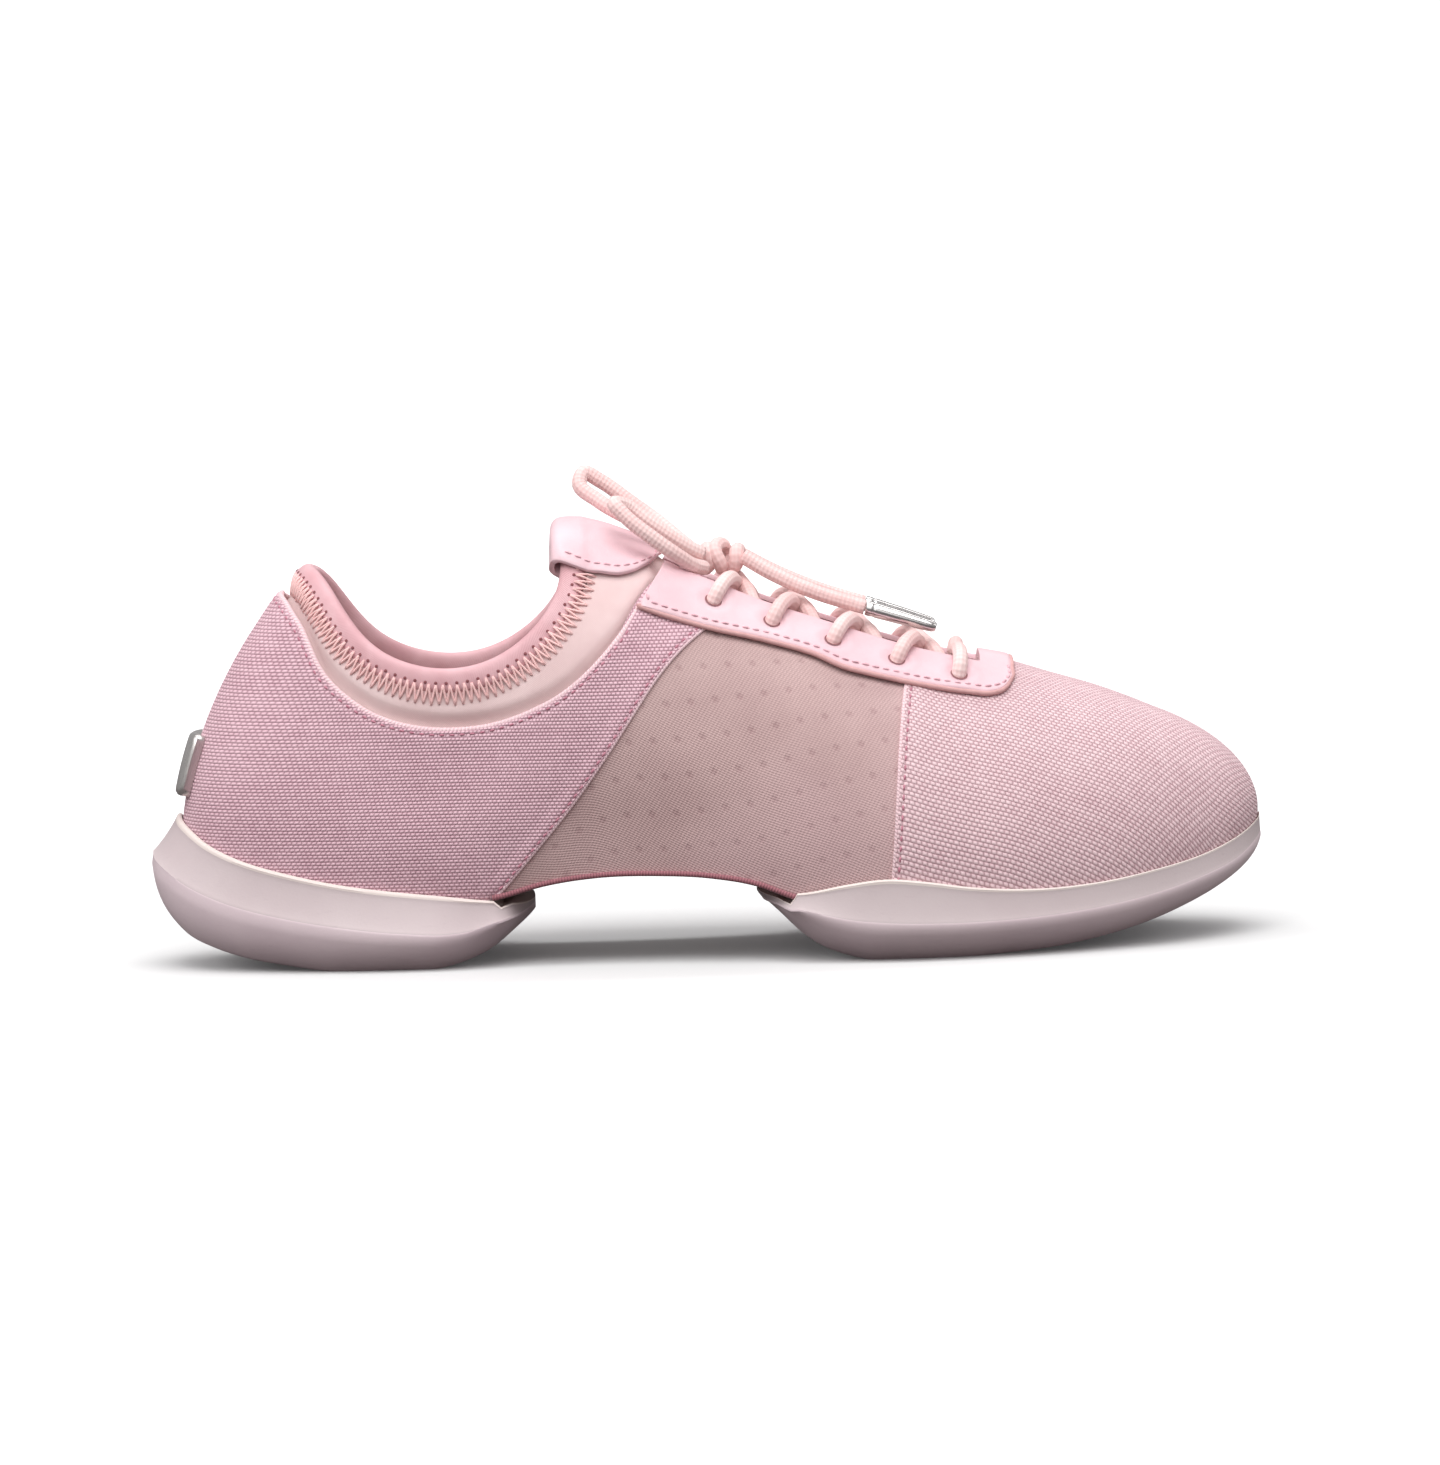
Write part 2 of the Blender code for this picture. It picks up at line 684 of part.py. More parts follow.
def make_upper():
    rising = [0.06, 0.18, 0.31, 0.44, 0.57, CORNER, 0.80, 0.90, 1.0]
    foot, _ = upper_columns(0)
    turn, _ = upper_columns(CORNER)
    head, steps = upper_columns(1)
    behind = np.abs(turn) < STRAP * quarter_line(CORNER) - 1e-6
    reach = np.where(behind, shell_top(turn) / CORNER, 1.0)
    flange = width_in(foot, FLANGE)
    rows_out, rows_in = [], []
    lift = np.array([0, 0, WALL])
    for w in (np.ones(len(foot)), (1 + flange) / 2, flange, flange / 2):
        rows_out.append(bottom(foot, w))
        rows_in.append(rows_out[-1] + lift)
    rows_out.append(edge_point(foot))
    rows_in.append(edge_point(foot) + inward(foot) * WALL * 1.2 + lift)
    for f in rising:
        ways, _ = upper_columns(f)
        rows_out.append(off(ways, np.minimum(f * reach, 1), steps * CANVAS_STEP * smooth(f / 0.06)))
        rows_in.append(off(ways, np.minimum(f * reach, 1), np.full(len(ways), -WALL)))
    for v in (1.35, 1.7, 2.0):
        rows_out.append(off(head, v, steps * CANVAS_STEP))
        rows_in.append(off(head, v, np.full(len(head), -WALL)))
    outside, inside = np.array(rows_out), np.array(rows_in)
    middle = edge_point((foot[:-1] + foot[1:]) / 2)[:, 0]
    ahead = np.abs(head[:-1] + head[1:]) / 2 > THROAT_FRONT
    free = behind[:-1] | behind[1:]
    arch = (middle > 0.332 * LENGTH) & (middle < 0.553 * LENGTH)

    def keep(r, c):
        if r < 2:
            return bool(arch[c])
        return r < 10 or (r < 13 and not free[c]) or bool(ahead[c])

    return walled("upper", outside, inside, canvas, keep)


def sock_columns():
    ways = [MOUTH_END * k / 12 for k in range(13)]
    ways += [MOUTH_END + (TONGUE_START - MOUTH_END) * 0.5, TONGUE_START]
    ways += [TONGUE_START + (SOCK_FRONT - TONGUE_START) * k / 8 for k in range(1, 9)]
    return np.array([-w for w in ways[:0:-1]] + ways)


def sock_out(t, v):
    """How far the sock's outer face lies from the upper's outer surface: tucked under it, puffed out above."""
    s = np.abs(t)
    tall = np.linalg.norm(mouth_point(t) - edge_point(t), axis=-1)
    wide = np.linalg.norm(ridge_point(t) - mouth_point(t), axis=-1)
    clear = (np.minimum(v, 1) - shell_top(t)) * tall + np.maximum(v - 1, 0) * wide
    behind = smooth((EYESTAY_REAR + 0.02 - s) / 0.03)
    rest = -(WALL + SOCK_EASE) + SOCK_PUFF * behind * smooth((clear - 0.0008) / 0.004)
    sunk = TONGUE_SINK * (1 - behind) * smooth((v - 1.15) / 0.5)
    return rest - sunk


def below_binding(ways):
    """How far up (v) the sock goes at each way round, so that it stops just short of the binding."""
    loop, _, _ = mouth_loop(240)
    low, high = np.full(len(ways), 0.6), np.full(len(ways), 0.988)
    for _ in range(24):
        middle = (low + high) / 2
        gap = np.linalg.norm(last(ways, middle)[:, None] - loop[None], axis=-1).min(axis=1)
        clear = gap > BINDING_WIDTH + FIT_GAP * 3.5
        low, high = np.where(clear, middle, low), np.where(clear, high, middle)
    return low


def make_sock():
    ways = sock_columns()
    s = np.abs(ways)
    seat = edge_point(ways)[:, 2] + WALL + INSOLE_EASE + INSOLE_THICK + 3 * FIT_GAP
    low = up_to(ways, seat + 0.0004)
    high = below_binding(ways)
    rows_out, rows_in = [], []
    tall = np.linalg.norm(mouth_point(ways) - edge_point(ways), axis=-1)
    shell = np.minimum(shell_top(ways) + 0.0006 / tall, high - 0.02)
    levels = [low + (shell - low) * f for f in (0, 0.2, 0.42, 0.64, 0.84, 1.0)]
    levels += [shell + (high - shell) * f for f in (0.34, 0.67, 1.0)]
    levels += [np.ones(len(ways)), np.full(len(ways), 1.35), np.full(len(ways), 1.7), np.full(len(ways), 2.0)]
    for v in levels:
        out = sock_out(ways, v)
        rows_out.append(off(ways, v, out))
        rows_in.append(off(ways, v, out - SOCK_WALL))
    tongue = (s[:-1] > TONGUE_START - 1e-6) & (s[1:] > TONGUE_START - 1e-6)
    return walled(
        "sock_and_tongue",
        np.array(rows_out),
        np.array(rows_in),
        sock,
        lambda r, c: r < 8 or bool(tongue[c]),
    )


def mouth_loop(count):
    """Evenly spaced points round the mouth's edge, with the outward and the opening directions there."""
    rising = np.linspace(0, MOUTH_END, 60)
    crossing = np.linspace(1, 2, 30)
    ways = np.concatenate([-rising, np.full(29, -MOUTH_END), np.full(29, MOUTH_END), rising[:0:-1]])
    level = np.concatenate([np.ones(60), crossing[1:], crossing[-2::-1], np.ones(59)])
    points, out = last(ways, level), normal(ways, level)
    for _ in range(40):
        points[1:-1] = (points[:-2] + 2 * points[1:-1] + points[2:]) / 4
        out[1:-1] = (out[:-2] + 2 * out[1:-1] + out[2:]) / 4
    length = np.concatenate([[0], np.cumsum(np.linalg.norm(np.diff(points, axis=0), axis=1))])
    whole = length[-1] + np.linalg.norm(points[0] - points[-1])
    at = np.arange(count) * whole / count
    points = np.concatenate([points, points[:1]])
    out = unit(np.concatenate([out, out[:1]]))
    length = np.append(length, whole)
    place = np.stack([np.interp(at, length, points[:, i]) for i in range(3)], -1)
    away = unit(np.stack([np.interp(at, length, out[:, i]) for i in range(3)], -1))
    go = unit(np.roll(place, -1, axis=0) - np.roll(place, 1, axis=0))
    open_way = unit(np.cross(away, go))
    away = unit(np.cross(go, open_way))
    return place, away, open_way


def make_binding():
    place, away, open_way = mouth_loop(60)
    centre = place - open_way * BINDING_WIDTH / 2 - away * (WALL + FIT_GAP - SOCK_PUFF + SOCK_WALL / 2)
    turns = np.arange(8) * 2 * math.pi / 8
    tall, thick = BINDING_WIDTH / 2, BINDING_THICK / 2
    rings = np.array([centre + open_way * tall * math.cos(a) + away * thick * math.sin(a) for a in turns])
    rings = np.concatenate([rings, rings[:, :1]], axis=1)
    rings = np.concatenate([rings, rings[:1]], axis=0)
    return skin("collar_binding", rings, lycra)


def pad(name, ways, rim, tread, shelf, turn, end):
    """A sole moulding: seat under the last, wall with a lip up its side, facet out to a crease, curved underside."""
    s = np.abs(ways)
    lip, crease_out, crease_up, edge_out = [Curve([r[0] for r in rim], [r[c] for r in rim])(s) for c in (1, 2, 3, 4)]
    crease_out = crease_out[:, None] * BALL_WIDTH
    edge_out = edge_out[:, None] * BALL_WIDTH
    ground, ledge = along(tread), along(shelf)
    edge, core, d = edge_point(ways), core_point(ways), inward(ways)
    turn_x, end_x = edge_point(turn)[0], edge_point(end)[0]

    def underside(share):
        return np.maximum(ground(share), 0)

    def closing(start):
        """Share of its width that the moulding has at each station, rounding off from start to its end."""
        begin = turn_x + (end_x - turn_x) * start
        share = np.clip((edge[:, 0] - begin) / (end_x - begin), 0, 1)
        return np.sqrt(np.maximum(1 - share**2, 0))

    high_width, low_width = closing(0.60), closing(0.0)

    def seat_at(w):
        p = bottom(ways, w)
        p[:, 2] = np.minimum(p[:, 2] - FIT_GAP, ledge(p[:, 0] / LENGTH) * INSTEP_HEIGHT)
        return p

    rows = [seat_at(np.ones(len(ways))), seat_at(np.full(len(ways), 0.5))]
    corner = seat_at(np.zeros(len(ways)))
    corner[:, :2] -= d[:, :2] * FIT_GAP * 2.4
    rows.append(corner)
    height = corner[:, 2] + np.maximum(lip * INSTEP_HEIGHT - corner[:, 2], 0) * smooth((high_width - 0.985) / 0.015)
    free = (height - corner[:, 2] < 0.0004)[:, None]
    for f in (0.33, 0.67, 1.0):
        z = corner[:, 2] + (height - corner[:, 2]) * f
        wall = off(ways, up_to(ways, z), np.full(len(ways), CANVAS_STEP + FIT_GAP * 1.7))
        wall[:, 2] = z
        rows.append(np.where(free, corner + (z - corner[:, 2])[:, None] * [0, 0, 1.0], wall))
    brim = rows[-1] - d * LIP
    brim[:, 2] -= 0.0002
    crease = edge - d * crease_out
    crease[:, 2] = crease_up * INSTEP_HEIGHT
    under = np.minimum(crease[:, 2], corner[:, 2] - 0.0012)
    crease[:, 2] = np.where(high_width < 0.99, under, crease[:, 2])
    crease[:, 2] = np.maximum(crease[:, 2], underside(crease[:, 0] / LENGTH) * INSTEP_HEIGHT + 0.0005)
    step = np.minimum(1.0, (np.linalg.norm((crease - rows[-1])[:, :2], axis=1) / 0.004))[:, None]
    rows.append(rows[-1] * (1 - step) + brim * step)
    rows.append((rows[-1] + crease) / 2)
    rows.append(crease)
    foot = edge - d * edge_out
    foot[:, 2] = underside(foot[:, 0] / LENGTH) * INSTEP_HEIGHT
    tall = np.clip((crease[:, 2] - foot[:, 2]) / 0.010, 0, 1)[:, None]
    for u, push in ((0.33, 0.0014), (0.68, 0.0016)):
        p = crease * (1 - u) + foot * u + (np.array([0, 0, -0.9]) - d) * push * tall
        rows.append(p)
    rows.append(foot)
    for w in (0.45, 1.0):
        p = foot * (1 - w) + core * w
        p[:, 2] = underside(p[:, 0] / LENGTH) * INSTEP_HEIGHT
        rows.append(p)
    rings = np.array(rows)
    widths = [high_width] * 9 + [low_width] * 5
    rings[:, :, :2] = core[:, :2] + (rings[:, :, :2] - core[:, :2]) * np.array(widths)[..., None]
    rings[-3:, :, 2] = underside(rings[-3:, :, 0] / LENGTH) * INSTEP_HEIGHT
    rings[:3, :, 2] = np.minimum(rings[:3, :, 2], ledge(rings[:3, :, 0] / LENGTH) * INSTEP_HEIGHT)
    rings[3:6, free[:, 0]] = rings[2, free[:, 0]]
    return skin(name, rings, foam)


def pad_ways(start, turn, end):
    """Ways round of one side's stations, close together where the free end is round."""
    turn_x, end_x = edge_point(turn)[0], edge_point(end)[0]
    whole = LENGTH - HEEL_INSET - TOE_INSET
    ends = [turn_x + (end_x - turn_x) * math.sin(math.radians(a)) for a in (20, 40, 57, 72, 83)]
    ends = [round_of((x - HEEL_INSET) / whole) for x in ends]
    count = 17
    return [start + (turn - start) * k / count for k in range(count + 1)] + ends + [end]


def make_insole():
    one = [k / 28 for k in range(29)]
    ways = np.array([-w for w in one[:0:-1]] + one)
    inset = width_in(ways, INSOLE_INSET)
    low = []
    for share in (1.0, 0.5, 0.0):
        low.append(bottom(ways, inset + (1 - inset) * share))
    low = np.array(low)
    low[..., 2] += WALL + INSOLE_EASE
    high = low.copy()
    high[..., 2] += INSOLE_THICK
    return walled("insole", low, high, lining)


def place_on(x, y):
    """Way round and height share (t, v) of the outer surface over a plan point of the instep."""
    x, y = np.broadcast_arrays(np.asarray(x, float), np.asarray(y, float))
    side = np.where(y < 0, -1.0, 1.0)
    sample = np.linspace(MOUTH_END, 0.99, 200)
    s = np.interp(x, mouth_along(sample) * LENGTH, sample)
    for _ in range(4):
        low, high = np.full(x.shape, 0.4), np.full(x.shape, 2.0)
        for _ in range(18):
            middle = (low + high) / 2
            wide = side * (last(side * s, middle)[..., 1] - y) > 0
            low, high = np.where(wide, middle, low), np.where(wide, high, middle)
        v = (low + high) / 2
        s = np.clip(s + (x - last(side * s, v)[..., 0]) / 0.39, MOUTH_END, 0.99)
    return side * s, v


def over(x, y, out):
    t, v = place_on(x, y)
    return off(t, v, np.broadcast_to(out, t.shape))


def make_eyestay():
    one = [0.459, 0.464, 0.470]
    one += [0.476 + (THROAT_FRONT - 0.476) * k / 11 for k in range(12)]
    one += [0.678, 0.686, 0.691, EYESTAY_FRONT]
    ways = np.array([-w for w in one] + one[::-1])
    s = np.abs(ways)
    high = shell_top(ways)
    low = np.minimum(up_to(ways, eyestay_edge(s) * INSTEP_HEIGHT), high - 0.004)
    levels = [low + (high - low) * f for f in (0, 0.34, 0.67, 1)]
    levels += [np.full(len(ways), v) for v in (1.35, 1.7, 2.0)]
    under = CANVAS_STEP + FIT_GAP
    rows_out = [off(ways, v, np.full(len(ways), under + LEATHER)) for v in levels]
    rows_in = [off(ways, v, np.full(len(ways), under)) for v in levels]
    bridge = (s[:-1] > THROAT_FRONT - 1e-6) & (s[1:] > THROAT_FRONT - 1e-6)
    middle = len(one) - 1
    return walled(
        "eyestay",
        np.array(rows_out),
        np.array(rows_in),
        leather,
        lambda r, c: c != middle and (r < 3 or bool(bridge[c])),
    )


def make_tab():
    """Leather wrapped over the tongue's rear edge: a profile from inside, round the binding and forward."""
    half = along(TAB_SHAPE)
    base = 0.388
    across = np.array([-1, -0.84, -0.62, -0.34, 0, 0.34, 0.62, 0.84, 1])
    faces = []
    for rows in (TAB_OUTSIDE, TAB_INSIDE):
        share = np.array([r[0] for r in rows])[:, None]
        out = np.array([r[1] for r in rows])[:, None]
        y = across * half(share) * BALL_WIDTH
        x = np.broadcast_to(np.maximum(share, base) * LENGTH, y.shape)
        t, v = place_on(x, y)
        ahead, level = place_on(x + 0.002, y)
        go = unit(last(ahead, level) - last(t, v))
        back = np.maximum(base - share, 0) * LENGTH
        faces.append(off(t, v, out * LENGTH + 0 * y) - go * back[..., None])
    return walled("tongue_tab", faces[0], faces[1], leather)


def make_plate():
    ways = np.array([-0.040, -0.036, -0.018, 0, 0.018, 0.036, 0.040])
    rows_out, rows_in = [], []
    for z, narrow in ((0.412, 0.86), (0.422, 1), (0.485, 1), (0.545, 1), (0.556, 0.86)):
        v = up_to(ways * narrow, z * INSTEP_HEIGHT)
        rim = 0.0005 if narrow < 1 else 0
        edge = np.array([0.0005, 0, 0, 0, 0, 0, 0.0005])
        under = CANVAS_STEP + FIT_GAP
        rows_out.append(off(ways * narrow, v, under + PLATE_THICK - np.maximum(edge, rim)))
        rows_in.append(off(ways * narrow, v, np.full(len(ways), under)))
    return walled("heel_plate", np.array(rows_out), np.array(rows_in), metal)


def along_route(points, spacing):
    """Evenly spaced points on a smooth curve through hand-placed ones."""
    points = np.array(points, float)
    at = np.concatenate([[0], np.cumsum(np.linalg.norm(np.diff(points, axis=0), axis=1))])
    lines = [Curve(at, points[:, i]) for i in range(3)]
    fine = np.stack([line(np.linspace(0, at[-1], 400)) for line in lines], -1)
    run = np.concatenate([[0], np.cumsum(np.linalg.norm(np.diff(fine, axis=0), axis=1))])
    count = max(2, int(round(run[-1] / spacing)) + 1)
    even = np.linspace(0, run[-1], count)
    return np.stack([np.interp(even, run, fine[:, i]) for i in range(3)], -1)


def tube_rings(points, radius, sides=8):
    go = unit(np.gradient(points, axis=0))
    aside = unit(np.cross(go[0], [0.0, 0.31, 0.95]))
    rings = []
    for point, way in zip(points, go):
        aside = unit(aside - way * np.dot(aside, way))
        other = np.cross(way, aside)
        turns = np.arange(sides) * 2 * math.pi / sides
        rings.append([point + radius * (math.cos(a) * aside + math.sin(a) * other) for a in turns])
    return np.array(rings)


def rod(name, points, radius, paint, sides=8):
    rings = tube_rings(points, radius, sides)
    flat = rings.reshape(-1, 3)
    rows = len(points)
    faces = []
    for r in range(rows - 1):
        for c in range(sides):
            d = (c + 1) % sides
            faces.append([r * sides + c, (r + 1) * sides + c, (r + 1) * sides + d, r * sides + d])
    faces.append(list(range(sides)))
    faces.append([(rows - 1) * sides + c for c in range(sides)][::-1])
    return add(name, flat, faces, paint)


def cord_curve(name, points, radius, paint):
    data = bpy.data.curves.new(name, "CURVE")
    data.dimensions = "3D"
    data.bevel_depth = radius
    data.bevel_resolution = 2
    data.use_fill_caps = True
    line = data.splines.new("POLY")
    line.points.add(len(points) - 1)
    for point, place in zip(line.points, points):
        point.co = (*place, 1)
    data.materials.append(paint)
    thing = bpy.data.objects.new(name, data)
    bpy.context.collection.objects.link(thing)
    return thing


def eyelet_place(k, side):
    """Plan point (x, y) of an eyelet, number k from the front."""
    s = EYELETS[k]
    wide = float(np.linalg.norm(mouth_point(s)[:2] - ridge_point(s)[:2])) + EYELET_INSET
    return float(mouth_along(s)) * LENGTH, side * wide


def strand(start, finish, heights):
    """A lace strand over the throat from plan point to plan point: (share of the way, height over the last)."""
    share = np.array([h[0] for h in heights])
    height = np.array([h[1] for h in heights])
    x = start[0] + (finish[0] - start[0]) * share
    y = start[1] + (finish[1] - start[1]) * share
    return along_route(over(x, y, height * LACE_DIAMETER), LACE_DIAMETER * 0.8)


def make_laces():
    """Crossings: each strand comes up inside one throat edge and goes over the other into its eyelet."""
    radius = LACE_DIAMETER / 2
    rod("lace_bar", strand(eyelet_place(0, -1), eyelet_place(0, 1), BAR_HEIGHTS), radius, cord, 6)
    for k in range(4):
        one, two = [strand(eyelet_place(k, -side), eyelet_place(k + 1, side), CROSS_HEIGHTS) for side in (-1, 1)]
        whole = rod(f"lace_crossing_{k + 1}", one, radius, cord, 6)
        other = rod(f"cut_strand_{k + 1}", two, radius, cord, 6)
        other.hide_render = True
        other.display_type = "WIRE"
        join = whole.modifiers.new("join", "BOOLEAN")
        join.operation = "UNION"
        join.solver = "EXACT"
        join.object = other


def make_bow():
    """Knot, two loops and two ends with metal tips, on hand-placed routes."""
    radius = LACE_DIAMETER / 2
    ball = np.array(KNOT_SIZE) / 2 * LACE_DIAMETER
    centre = over(KNOT_PLACE[0] * LENGTH, KNOT_PLACE[1] * LENGTH, KNOT_PLACE[2] * LACE_DIAMETER)
    turns, rises = np.arange(11) * 2 * math.pi / 10, np.linspace(-math.pi / 2, math.pi / 2, 7)
    rings = [
        [centre + ball * [math.cos(r) * math.cos(a), math.cos(r) * math.sin(a), math.sin(r)] for a in turns]
        for r in rises
    ]
    skin("lace_knot", np.array(rings), cord)
    for name, route in (("lace_loop_inner", LOOP_INNER), ("lace_loop_outer", LOOP_OUTER)):
        points = [[x * LENGTH, y * LENGTH, z * LENGTH] for x, y, z in route]
        cord_curve(name, along_route(points, LACE_DIAMETER * 1.0), radius, cord)
    for name, route in (("inner", END_INNER), ("outer", END_OUTER)):
        points = along_route([[x * LENGTH, y * LENGTH, z * LENGTH] for x, y, z in route], LACE_DIAMETER * 1.4)
        cord_curve("lace_end_" + name, points, radius, cord)
        way = unit(points[-1] - points[-2])
        tip = points[-1] + way * FIT_GAP
        rod("aglet_" + name, np.array([tip, tip + way * AGLET_LENGTH]), AGLET_DIAMETER / 2, metal, 16)


heel_ways = pad_ways(0.0, HEEL_PAD_TURN, HEEL_PAD_END)
heel_ways = np.array([-w for w in heel_ways[:0:-1]] + heel_ways)
fore_ways = pad_ways(1.0, FORE_PAD_TURN, FORE_PAD_END)
fore_ways = np.array([w for w in fore_ways[::-1]] + [-w for w in fore_ways[1:]])

make_upper()
make_sock()
make_binding()
make_insole()
make_eyestay()
make_tab()
make_plate()
make_laces()
make_bow()
pad("heel_sole", heel_ways, HEEL_RIM, HEEL_TREAD, HEEL_SHELF, HEEL_PAD_TURN, HEEL_PAD_END)
pad("forefoot_sole", fore_ways, FORE_RIM, FORE_TREAD, FORE_SHELF, FORE_PAD_TURN, FORE_PAD_END)


# Centre the shoe on its own box, standing on z = 0
solids = [o for o in bpy.context.collection.objects if o.type == "MESH"]
corners = np.array([v.co for o in solids if "lace" not in o.name for v in o.data.vertices])
shift = (corners.min(axis=0) + corners.max(axis=0)) / 2
for thing in bpy.context.collection.objects:
    if thing.type == "MESH":
        places = list(thing.data.vertices)
    else:
        places = [p for line in thing.data.splines for p in line.points]
    for place in places:
        place.co[0] -= shift[0]
        place.co[1] -= shift[1]
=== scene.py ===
"""A right-foot dance sneaker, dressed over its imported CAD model."""

import math

import bpy
import numpy as np
from mathutils import Matrix, Vector
from mathutils.bvhtree import BVHTree


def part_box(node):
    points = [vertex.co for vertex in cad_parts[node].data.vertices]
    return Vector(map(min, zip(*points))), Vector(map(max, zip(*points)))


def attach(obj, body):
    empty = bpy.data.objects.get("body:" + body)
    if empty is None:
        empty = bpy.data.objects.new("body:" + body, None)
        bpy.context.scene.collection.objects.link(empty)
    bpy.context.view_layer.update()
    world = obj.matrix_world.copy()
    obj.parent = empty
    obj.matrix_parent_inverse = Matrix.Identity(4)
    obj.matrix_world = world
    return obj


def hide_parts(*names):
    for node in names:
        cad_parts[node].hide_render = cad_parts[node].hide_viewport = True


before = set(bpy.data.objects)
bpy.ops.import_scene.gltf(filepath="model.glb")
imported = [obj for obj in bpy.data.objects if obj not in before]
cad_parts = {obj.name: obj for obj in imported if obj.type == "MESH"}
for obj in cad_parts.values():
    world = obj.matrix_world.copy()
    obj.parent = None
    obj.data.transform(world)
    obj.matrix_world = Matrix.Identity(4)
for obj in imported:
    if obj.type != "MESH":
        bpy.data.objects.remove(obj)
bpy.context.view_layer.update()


# The last: the wooden form that every upper piece is drawn over. It is worked out from the shoe's named
# sizes, so that each cloth or leather piece can be laid at its own height over it.
INSOLE_INSET = 0.0030
LENGTH = 0.268
BALL_WIDTH = 0.080
INSTEP_HEIGHT = 0.100
HEEL_INSET = 0.008
TOE_INSET = 0.004
EYESTAY_REAR = 0.475

# Plan of the last's edge: share of the way along, outer and inner half width as shares of the ball width
OUTLINE = [
    # along, outer, inner
    (0.00, 0.000, 0.000),
    (0.03, 0.182, 0.182),
    (0.08, 0.268, 0.266),
    (0.16, 0.330, 0.322),
    (0.28, 0.352, 0.330),
    (0.40, 0.382, 0.322),
    (0.50, 0.430, 0.348),
    (0.60, 0.482, 0.415),
    (0.68, 0.502, 0.475),
    (0.76, 0.476, 0.496),
    (0.84, 0.406, 0.470),
    (0.91, 0.300, 0.402),
    (0.96, 0.181, 0.320),
    (1.00, -0.081, 0.081),
]
# Height of the last's edge along the shoe, as a share of the instep height
SEAT = [
    # along, height
    (0.00, 0.160), (0.10, 0.152), (0.20, 0.152), (0.27, 0.154), (0.31, 0.168), (0.35, 0.196),
    (0.40, 0.214), (0.45, 0.216), (0.50, 0.208), (0.54, 0.188), (0.57, 0.158), (0.61, 0.128),
    (0.66, 0.115), (0.74, 0.110), (0.81, 0.112), (0.87, 0.126), (0.92, 0.152), (0.96, 0.184),
    (1.00, 0.228),
]
# Mouth and throat line, then its way on over the vamp to the top of the toe
MOUTH = [
    # round, along, half width, height
    (0.00, 0.146, 0.000, 0.967),
    (0.06, 0.151, 0.075, 0.960),
    (0.10, 0.161, 0.130, 0.938),
    (0.15, 0.177, 0.212, 0.860),
    (0.20, 0.199, 0.274, 0.778),
    (0.25, 0.231, 0.316, 0.733),
    (0.30, 0.272, 0.338, 0.711),
    (0.35, 0.322, 0.345, 0.738),
    (0.38, 0.353, 0.335, 0.802),
    (0.40, 0.374, 0.304, 0.874),
    (0.43, 0.407, 0.238, 0.938),
    (0.46, 0.443, 0.169, 0.955),
    (0.50, 0.496, 0.144, 0.896),
    (0.54, 0.552, 0.138, 0.831),
    (0.58, 0.612, 0.136, 0.774),
    (0.62, 0.672, 0.132, 0.719),
    (0.66, 0.731, 0.125, 0.677),
    (0.70, 0.780, 0.119, 0.646),
    (0.75, 0.821, 0.112, 0.616),
    (0.80, 0.854, 0.100, 0.589),
    (0.85, 0.877, 0.081, 0.570),
    (0.90, 0.892, 0.056, 0.558),
    (0.95, 0.899, 0.029, 0.551),
    (1.00, 0.901, 0.000, 0.549),
]
# Height of the top line over the middle of the foot, and how far it leans to the inner side
RIDGE = [
    # along, height, lean
    (0.36, 1.026, 0.000),
    (0.40, 1.034, 0.000),
    (0.43, 1.008, 0.000),
    (0.464, 0.962, 0.000),
    (0.50, 0.917, 0.000),
    (0.55, 0.854, 0.000),
    (0.60, 0.806, 0.000),
    (0.67, 0.735, 0.000),
    (0.72, 0.701, 0.000),
    (0.77, 0.675, 0.002),
    (0.81, 0.640, 0.010),
    (0.856, 0.600, 0.024),
    (0.901, 0.549, 0.037),
    (0.95, 0.480, 0.046),
]
# How each upright curve leaves the last's edge and meets the mouth line
SWELL = [
    # round, outward outer, outward inner, rise, reach, lean angle in degrees
    (0.00, 0.074, 0.074, 0.265, 0.262, 42),
    (0.06, 0.072, 0.072, 0.260, 0.248, 48),
    (0.10, 0.070, 0.068, 0.250, 0.240, 57),
    (0.15, 0.070, 0.066, 0.225, 0.230, 70),
    (0.20, 0.064, 0.060, 0.205, 0.205, 79),
    (0.25, 0.056, 0.050, 0.185, 0.185, 84),
    (0.30, 0.052, 0.046, 0.185, 0.185, 86),
    (0.35, 0.050, 0.046, 0.200, 0.205, 82),
    (0.38, 0.050, 0.048, 0.212, 0.235, 74),
    (0.40, 0.050, 0.050, 0.220, 0.260, 64),
    (0.43, 0.050, 0.052, 0.240, 0.260, 44),
    (0.46, 0.050, 0.054, 0.262, 0.245, 29),
    (0.50, 0.050, 0.056, 0.280, 0.222, 22),
    (0.58, 0.056, 0.056, 0.260, 0.240, 20),
    (0.65, 0.056, 0.052, 0.200, 0.230, 20),
    (0.72, 0.056, 0.050, 0.165, 0.205, 20),
    (0.80, 0.060, 0.054, 0.145, 0.185, 20),
    (0.88, 0.064, 0.058, 0.125, 0.172, 20),
    (0.94, 0.078, 0.074, 0.130, 0.200, 20),
    (1.00, 0.081, 0.081, 0.128, 0.208, 20),
]
